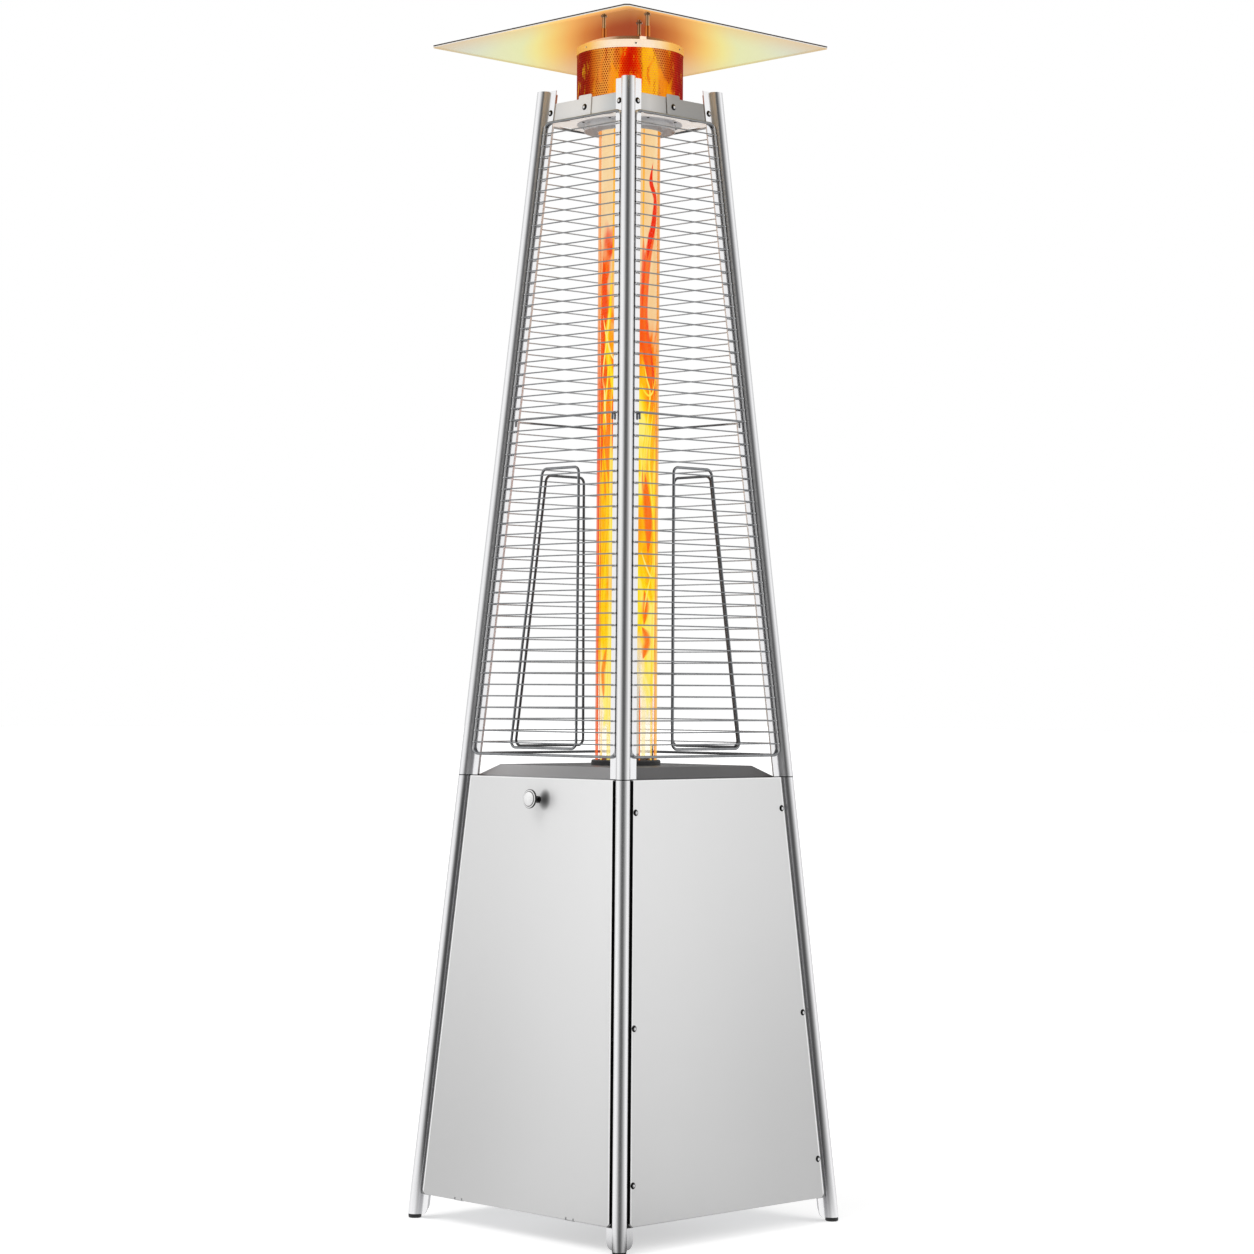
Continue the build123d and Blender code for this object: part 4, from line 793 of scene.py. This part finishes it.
def perforated_screen():
    """The sheet's outer and inner layers, the walls of its holes, its top edge and its foot ring"""
    points, faces, corner = [], [], {}
    top = HOLE_ROWS - 1
    row_step = (HOLES_HIGH - HOLES_LOW) / top
    column_step = 2 * pi / HOLE_COLUMNS
    inside = SCREEN_RADIUS - SHEET
    for layer, radius in enumerate((SCREEN_RADIUS, inside)):
        for row in range(HOLE_ROWS):
            level = HOLES_LOW + row * row_step
            for column in range(HOLE_COLUMNS):
                middle = (column + 0.5 * (row % 2)) * column_step
                for side in range(HOLE_SIDES):
                    angle = pi / HOLE_SIDES + side * 2 * pi / HOLE_SIDES
                    corner[layer, row, column, side] = len(points)
                    turn = middle + HOLE_RADIUS * cos(angle) / SCREEN_RADIUS
                    points.append(round_point(turn, radius, level + HOLE_RADIUS * sin(angle)))
        for edge, level in ((-1, SCREEN_LOW), (HOLE_ROWS, SCREEN_HIGH)):
            for column in range(HOLE_COLUMNS):
                corner[layer, edge, column, 0] = len(points)
                points.append(round_point(column * column_step, radius, level))

    def at(layer, row, column, side):
        return corner[layer, row, column % HOLE_COLUMNS, side]

    for layer in (0, 1):
        made = []
        for row in range(HOLE_ROWS):
            for column in range(HOLE_COLUMNS):
                after = column + 1
                made.append([(row, column, 5), (row, after, 3), (row, after, 2), (row, column, 0)])
                if row < top:
                    over = row + 1
                    right = column + row % 2
                    left = right - 1
                    made.append([(row, column, 0), (over, right, 4), (over, right, 3), (row, column, 1)])
                    made.append([(row, column, 1), (over, left, 5), (over, left, 4), (row, column, 2)])
                    made.append([(row, column, 0), (row, after, 2), (over, right, 4)])
                    made.append([(row, column, 1), (over, right, 3), (over, left, 5)])
        for column in range(HOLE_COLUMNS):
            after = column + 1
            made.append([(top, column, 1), (top, column, 0), (HOLE_ROWS, column, 0)])
            made.append([(top, column, 0), (top, after, 2), (HOLE_ROWS, after, 0), (HOLE_ROWS, column, 0)])
            made.append([(top, after, 2), (top, after, 1), (HOLE_ROWS, after, 0)])
            made.append([(0, column, 5), (0, column, 4), (-1, column, 0)])
            made.append([(0, after, 3), (0, column, 5), (-1, column, 0), (-1, after, 0)])
            made.append([(0, after, 4), (0, after, 3), (-1, after, 0)])
        for face in made:
            spots = [at(layer, *spot) for spot in face]
            faces.append(spots if layer == 0 else spots[::-1])
    for row in range(HOLE_ROWS):
        for column in range(HOLE_COLUMNS):
            for side in range(HOLE_SIDES):
                after = (side + 1) % HOLE_SIDES
                wall = ((0, after), (0, side), (1, side), (1, after))
                faces.append([at(layer, row, column, place) for layer, place in wall])
    foot = {}
    reach = SCREEN_RADIUS - FOOT_REACH
    rings = ((reach, SCREEN_LOW), (reach, SCREEN_LOW + SHEET), (inside, SCREEN_LOW + SHEET))
    for ring, (radius, level) in enumerate(rings):
        for column in range(HOLE_COLUMNS):
            foot[ring, column] = len(points)
            points.append(round_point(column * column_step, radius, level))
    for column in range(HOLE_COLUMNS):
        after = (column + 1) % HOLE_COLUMNS
        edge = ((1, after), (1, column), (0, column), (0, after))
        faces.append([at(layer, HOLE_ROWS, place, 0) for layer, place in edge])
        faces.append([at(0, -1, column, 0), foot[0, column], foot[0, after], at(0, -1, after, 0)])
        faces.append([foot[0, column], foot[1, column], foot[1, after], foot[0, after]])
        faces.append([foot[1, column], foot[2, column], foot[2, after], foot[1, after]])
    paint = SLOT_PAINTS["screen_steel"]
    screen = mesh_piece("flame_screen_sheet", points, faces, paint, smooth=False)
    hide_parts("flame_screen")


perforated_screen()


def turned_surface(name, rings, columns, paint, wave):
    """A closed round body from (radius, height) rings, its radius changed by wave(turn, height)"""
    points, faces = [], []
    for radius, height in rings:
        for column in range(columns):
            turn = 2 * pi * column / columns
            points.append(round_point(turn, radius + wave(turn, height), height))
    for ring in range(len(rings) - 1):
        for column in range(columns):
            after = (column + 1) % columns
            low, high = ring * columns, (ring + 1) * columns
            faces.append([low + column, low + after, high + after, high + column])
    faces.append(list(range(columns))[::-1])
    faces.append(list(range(len(points) - columns, len(points))))
    return mesh_piece(name, points, faces, paint)


def fold_wave(size, count, climb):
    """Folds that wind round a body of fire, as a change of its radius"""

    def wave(turn, height):
        broad = sin(count * turn + climb * height)
        fine = sin((2 * count + 1) * turn - 1.7 * climb * height)
        return size * (broad + 0.5 * fine)

    return wave


def column_rings(radius, low, high, steps):
    """Rings of one radius from a low to a high level, with one at each end"""
    return [(radius, low + (high - low) * step / steps) for step in range(steps + 1)]


# Fire inside the screen: an uneven column that opens out above the tube
SCREEN_FIRE_RADIUS = 0.0935
SCREEN_FIRE_LOW = GLASS_HIGH + 0.012
SCREEN_FIRE_HIGH = SCREEN_HIGH - 0.006
fire_rings = [(0.052, GLASS_HIGH + 0.004), (0.078, GLASS_HIGH + 0.008)]
fire_rings += column_rings(SCREEN_FIRE_RADIUS, SCREEN_FIRE_LOW, SCREEN_FIRE_HIGH, 24)
fire_paint = screen_fire_paint()
fire_wave = fold_wave(0.0016, 7, 40)
screen_fire = turned_surface("screen_fire", fire_rings, 96, fire_paint, fire_wave)

# Fire inside the tube, a little narrower at its foot
FLAME_RADIUS = 0.0526
FLAME_FOOT_RADIUS = FLAME_RADIUS * 0.86
FLAME_LOW = GLASS_LOW + 0.02
FLAME_HIGH = GLASS_HIGH - 0.008
flame_rings = column_rings(FLAME_RADIUS, FLAME_LOW, FLAME_HIGH, 120)
flame_rings[0] = (FLAME_FOOT_RADIUS, FLAME_LOW)
body_paint = flame_body_paint()
flame_column = turned_surface("flame_column", flame_rings, 72, body_paint, fold_wave(0.0003, 3, 17))

# Licks of fire: tone, cover, softness, layer, and the turn (degrees), height and width (millimetres)
# along each
LICKS = (
    # on the right
    (0.1, 1.0, 0.4, 3, (
        (49, 1976, 0), (42, 1938, 13), (61, 1908, 18), (58, 1875, 22), (50, 1851, 20), (40, 1832, 16),
        (30, 1790, 0))),
    (0.32, 0.95, 0.45, 2, (
        (62, 1900, 0), (54, 1860, 18), (46, 1835, 22), (34, 1800, 22), (26, 1748, 20), (22, 1690, 20),
        (26, 1650, 24), (34, 1615, 30), (42, 1580, 24), (40, 1530, 0))),
    (0.2, 0.8, 0.8, 2, ((18, 1840, 0), (19, 1800, 10), (18, 1750, 12), (16, 1700, 0))),
    (0.16, 0.9, 0.6, 3, ((44, 1630, 0), (50, 1600, 8), (60, 1565, 10), (68, 1530, 4))),
    (0.6, 0.9, 0.6, 2, (
        (70, 1600, 0), (74, 1545, 10), (64, 1490, 22), (48, 1430, 30), (42, 1360, 30), (48, 1280, 22),
        (56, 1200, 0))),
    (0.84, 1.0, 0.5, 4, ((14, 1560, 0), (22, 1547, 5), (38, 1538, 6), (56, 1550, 5), (70, 1590, 0))),
    (0.84, 1.0, 0.5, 4, (
        (22, 1600, 0), (30, 1570, 5), (42, 1540, 7), (34, 1490, 6), (24, 1430, 9), (24, 1360, 0))),
    (0.8, 1.0, 0.6, 4, (
        (62, 1530, 0), (48, 1480, 6), (40, 1420, 9), (48, 1360, 12), (60, 1300, 8), (64, 1230, 6),
        (52, 1170, 0))),
    (0.3, 0.9, 0.7, 3, ((20, 1410, 0), (26, 1375, 18), (36, 1330, 30), (40, 1290, 28), (38, 1240, 0))),
    (0.88, 1.0, 0.5, 4, ((16, 1250, 0), (28, 1225, 5), (48, 1200, 6), (58, 1205, 0))),
    (0.84, 1.0, 0.5, 4, ((60, 1235, 0), (48, 1200, 6), (34, 1165, 6), (26, 1130, 0))),
    (0.3, 0.95, 0.9, 3, ((26, 1175, 0), (32, 1150, 24), (30, 1128, 20), (26, 1108, 0))),
    (0.3, 0.95, 0.9, 3, ((20, 1106, 0), (32, 1092, 26), (38, 1078, 30), (30, 1060, 22), (24, 1046, 0))),
    (0.95, 0.6, 0.9, 3, ((16, 1030, 0), (30, 1010, 12), (46, 985, 10), (56, 955, 0))),
    # on the left
    (0.78, 1.0, 0.6, 3, (
        (-26, 1775, 0), (-28, 1735, 6), (-32, 1690, 12), (-40, 1650, 16), (-36, 1610, 18), (-24, 1570, 16),
        (-18, 1530, 0))),
    (0.24, 0.95, 0.8, 2, (
        (-60, 1800, 0), (-52, 1760, 18), (-54, 1700, 26), (-58, 1640, 22), (-62, 1580, 18),
        (-62, 1480, 20), (-60, 1380, 0))),
    (0.92, 1.0, 0.5, 5, ((-56, 1690, 0), (-48, 1665, 5), (-38, 1640, 6), (-26, 1615, 5), (-14, 1600, 0))),
    (0.9, 1.0, 0.5, 5, ((-32, 1700, 0), (-36, 1670, 6), (-42, 1635, 6), (-52, 1595, 6), (-58, 1555, 0))),
    (0.82, 1.0, 0.5, 4, ((-34, 1640, 0), (-34, 1600, 6), (-38, 1560, 6), (-46, 1520, 8), (-52, 1470, 0))),
    (0.94, 1.0, 0.6, 5, ((-54, 1570, 0), (-48, 1545, 5), (-46, 1520, 6), (-42, 1490, 3), (-40, 1470, 0))),
    (0.42, 0.95, 0.7, 3, (
        (-34, 1550, 0), (-34, 1490, 14), (-40, 1430, 22), (-38, 1360, 18), (-30, 1290, 0))),
    (0.7, 0.95, 0.6, 4, (
        (-52, 1460, 0), (-44, 1410, 8), (-36, 1360, 10), (-38, 1300, 14), (-48, 1240, 10),
        (-50, 1180, 0))),
    (0.5, 0.8, 0.9, 4, ((-44, 1420, 0), (-42, 1395, 8), (-44, 1365, 10), (-48, 1335, 0))),
    (0.72, 0.95, 0.7, 3, (
        (-36, 1260, 0), (-44, 1200, 16), (-48, 1130, 20), (-42, 1070, 16), (-40, 1020, 0))),
    (0.42, 0.9, 0.9, 4, ((-34, 1070, 0), (-42, 1045, 16), (-48, 1020, 20), (-46, 990, 14), (-44, 970, 0))),
    # upright streaks near the glass
    (0.14, 0.95, 0.35, 6, (
        (-79, 1620, 0), (-79, 1500, 12), (-79, 1300, 16), (-79, 1100, 16), (-79, 950, 16),
        (-79, 856, 14))),
    (0.02, 1.0, 0.8, 6, (
        (-62, 1500, 0), (-62, 1300, 4), (-62, 1100, 4.5), (-62, 950, 3.5), (-62, 856, 3))),
    (0.86, 0.7, 0.5, 6, (
        (-24, 1560, 0), (-25, 1420, 8), (-25, 1250, 11), (-26, 1080, 12), (-27, 950, 12), (-27, 856, 11))),
    (0.62, 0.95, 0.6, 6, ((-20, 2040, 4), (-20, 1940, 5), (-21, 1840, 5), (-22, 1760, 3), (-24, 1700, 0))),
    (0.42, 0.8, 0.6, 6, ((-76, 2040, 7), (-76, 1940, 8), (-77, 1820, 9), (-78, 1700, 8), (-79, 1600, 0))),
    (0.46, 0.95, 0.5, 6, (
        (80, 2040, 8), (80, 1900, 9), (80, 1700, 9), (80, 1500, 9), (80, 1300, 10), (80, 1100, 10),
        (80, 950, 9), (80, 856, 8))),
    (0.6, 0.9, 0.6, 6, ((18, 2040, 4), (18, 1950, 5), (17, 1860, 4), (17, 1800, 0))),
    (0.74, 0.8, 0.5, 6, ((56, 1160, 0), (55, 1080, 7), (54, 1000, 9), (54, 930, 9), (54, 856, 8))),
    (0.4, 0.95, 0.8, 6, ((15, 1000, 0), (15, 960, 4), (15, 900, 4), (15, 856, 4))),
)
LAYER_LOW = 0.0532
LAYER_STEP = 0.0002
LICK_CROWN = 0.0002
LICK_RADIUS_MOST = GLASS_RADIUS - GLASS_WALL - 0.0003
LICK_STEPS = 14
LICK_ACROSS = 5
TONGUES = tongue_paint()


def smooth_path(spots):
    """Points along a smooth line through the spots"""
    made = []
    count = len(spots)
    for place in range(count - 1):
        before, first = spots[max(place - 1, 0)], spots[place]
        second, after = spots[place + 1], spots[min(place + 2, count - 1)]
        for step in range(LICK_STEPS):
            t = step / LICK_STEPS
            point = []
            for a, b, c, d in zip(before, first, second, after):
                squared = (2 * a - 5 * b + 4 * c - d) * t * t
                cubed = (3 * b - a - 3 * c + d) * t**3
                point.append(0.5 * (2 * b + (c - a) * t + squared + cubed))
            made.append(point)
    made.append(list(spots[-1]))
    return made


# The front post's flanges hide the flame's middle, so the licks are drawn beside it
POST_COVER = 0.024
DRAWN_COVER = 0.0135
DRAWN_RADIUS = 0.0545


def beside_post(turn):
    """The turn at which a lick shows, in radians, from the turn it is drawn at, in degrees"""
    side = sin(radians(turn)) * DRAWN_RADIUS
    room = (LAYER_LOW - POST_COVER) / (DRAWN_RADIUS - DRAWN_COVER)
    if abs(side) < DRAWN_COVER:
        moved = side * POST_COVER / DRAWN_COVER
    else:
        moved = (POST_COVER + (abs(side) - DRAWN_COVER) * room) * (1 if side > 0 else -1)
    return asin(max(min(moved / LAYER_LOW, 1), -1))


def lick_mesh(name, turned):
    """All the licks as one piece, turned about the axis by an angle in degrees"""
    points, faces, marks = [], [], []
    for tone, cover, soft, layer, spots in LICKS:
        path = smooth_path([(turn, height / 1000, width / 1000) for turn, height, width in spots])
        radius = LAYER_LOW + LAYER_STEP * layer
        low = len(points)
        for place, (turn, height, width) in enumerate(path):
            ahead = path[min(place + 1, len(path) - 1)]
            behind = path[max(place - 1, 0)]
            run = Vector(((beside_post(ahead[0]) - beside_post(behind[0])) * radius, ahead[1] - behind[1]))
            run.normalize()
            for cell in range(LICK_ACROSS):
                side = 2 * cell / (LICK_ACROSS - 1) - 1
                reach = side * max(width, 0.0) * 0.5
                angle = beside_post(turn) + radians(turned) + run.y * -reach / radius
                crown = min(radius + LICK_CROWN * (1 - side * side), LICK_RADIUS_MOST)
                level = min(max(height + run.x * reach, GLASS_LOW), GLASS_HIGH)
                points.append(round_point(angle, crown, level))
                marks.append((side, tone, cover, soft))
        for place in range(len(path) - 1):
            for cell in range(LICK_ACROSS - 1):
                start = low + place * LICK_ACROSS + cell
                faces.append([start, start + LICK_ACROSS, start + LICK_ACROSS + 1, start + 1])
    piece = mesh_piece(name, points, faces, TONGUES)
    for order, mark in enumerate(LICK_MARKS):
        values = piece.data.attributes.new(mark, "FLOAT", "POINT")
        values.data.foreach_set("value", [row[order] for row in marks])
    return piece


licks = [lick_mesh("flame_licks_front", 0), lick_mesh("flame_licks_back", 180)]
for shining in (screen_fire, flame_column, *licks):
    shining.visible_glossy = False
    shining.visible_diffuse = False
    shining.visible_shadow = False

# Levels that a reflection finds round the heater, by degrees to the camera's right
STUDIO_RING = (
    (-180, 0.5), (-150, 0.62), (-130, 0.74), (-105, 0.92), (-84, 1.0), (-60, 0.87), (-45, 0.68), (-30, 0.34),
    (-14, 0.14), (0, 0.09), (17, 0.12), (34, 0.28), (50, 0.5), (68, 0.74), (88, 1.0), (113, 0.84),
    (135, 0.68), (160, 0.56),
)
WORLD_LEVEL = 0.62
FLOOR_HALF = 60
FLOOR_DROP = 0.0002


def studio_ring(paint, where):
    """The studio's level in the direction of a point or ray"""
    angle = paint.math("ARCTAN2", paint.dot(where, SIDEWAYS), paint.dot(where, TOWARDS))
    share = paint.math("MULTIPLY_ADD", angle, 0.5 / pi, 0.5)
    stops = [(0.5 + degrees / 360, (level, level, level, 1)) for degrees, level in STUDIO_RING]
    return paint.ramp(share, stops)


def floor_paint():
    """Pale floor that keeps the heater's shadow, lighter to the camera, with the ring in reflections"""
    paint = Paint("pale_floor")
    colour = paint.shades(paint.noise(3), "#dcdcdc", "#dedede")
    ground = paint.add("BsdfDiffuse", {"Color": colour, "Roughness": 0.4})
    rays = paint.add("LightPath").outputs
    shine = paint.add("Emission", {"Color": "#ffffff", "Strength": paint.times(rays["Is Camera Ray"], 0.5)})
    seen = paint.add("AddShader", {0: ground.outputs[0], 1: shine.outputs[0]})
    mirrored = paint.add("Emission", {"Color": studio_ring(paint, paint.place())})
    return paint.glow(paint.mix(rays["Is Glossy Ray"], seen, mirrored))


def studio_world():
    """White for the camera, plain pale light on the surfaces, and the studio's ring in reflections"""
    paint = Paint("studio", world=True)
    rays = paint.add("LightPath").outputs
    ring = studio_ring(paint, paint.add("TexCoord").outputs["Generated"])
    lit = paint.add("Background", {"Color": "#ffffff", "Strength": WORLD_LEVEL})
    mirrored = paint.add("Background", {"Color": ring})
    white = paint.add("Background", {"Color": "#ffffff"})
    light = paint.mix(rays["Is Glossy Ray"], lit, mirrored)
    return paint.show(paint.mix(rays["Is Camera Ray"], light, white))


def sun(name, turn, lift, strength, spread):
    """A soft sun, its place given by degrees to the camera's right and above the floor"""
    lamp = bpy.data.lights.new(name, "SUN")
    lamp.energy = strength
    lamp.angle = radians(spread)
    piece = add_object(name, lamp)
    place = TOWARDS * cos(radians(turn)) + SIDEWAYS * sin(radians(turn))
    place = place * cos(radians(lift)) + UP * sin(radians(lift))
    piece.rotation_euler = (-place).to_track_quat("-Z", "Y").to_euler()
    piece.visible_glossy = False


# Floor, world and lamps
corners = [(x * FLOOR_HALF, y * FLOOR_HALF, -FLOOR_DROP) for x, y in ((-1, -1), (1, -1), (1, 1), (-1, 1))]
floor_mesh = bpy.data.meshes.new("floor")
floor_mesh.from_pydata(corners, [], [(0, 1, 2, 3)])
floor_mesh.materials.append(floor_paint())
floor = add_object("floor", floor_mesh)
scene.world = studio_world()
sun("key_sun", -60, 55, 1.0, 35)
sun("fill_sun", 60, 40, 0.6, 50)

# Camera
ahead = -TOWARDS
right = ahead.cross(UP)
ahead = ahead * cos(CAMERA_PAN) + right * sin(CAMERA_PAN)
right = ahead.cross(UP)
ahead = ahead * cos(CAMERA_PITCH) + UP * sin(CAMERA_PITCH)
above = right.cross(ahead)
right = right * cos(CAMERA_ROLL) + above * sin(CAMERA_ROLL)
above = right.cross(ahead)
lens = bpy.data.cameras.new("camera")
lens.sensor_width = SENSOR
lens.lens = FOCAL_PIXELS * SENSOR / IMAGE_PIXELS
lens.clip_end = VIEW_END
camera = add_object("camera", lens)
stand = Matrix((right, above, -ahead)).transposed().to_4x4()
stand.translation = TOWARDS * CAMERA_DISTANCE + UP * CAMERA_HEIGHT
camera.matrix_world = stand
scene.camera = camera

scene.view_settings.view_transform = "Standard"
scene.cycles.transparent_max_bounces = 24
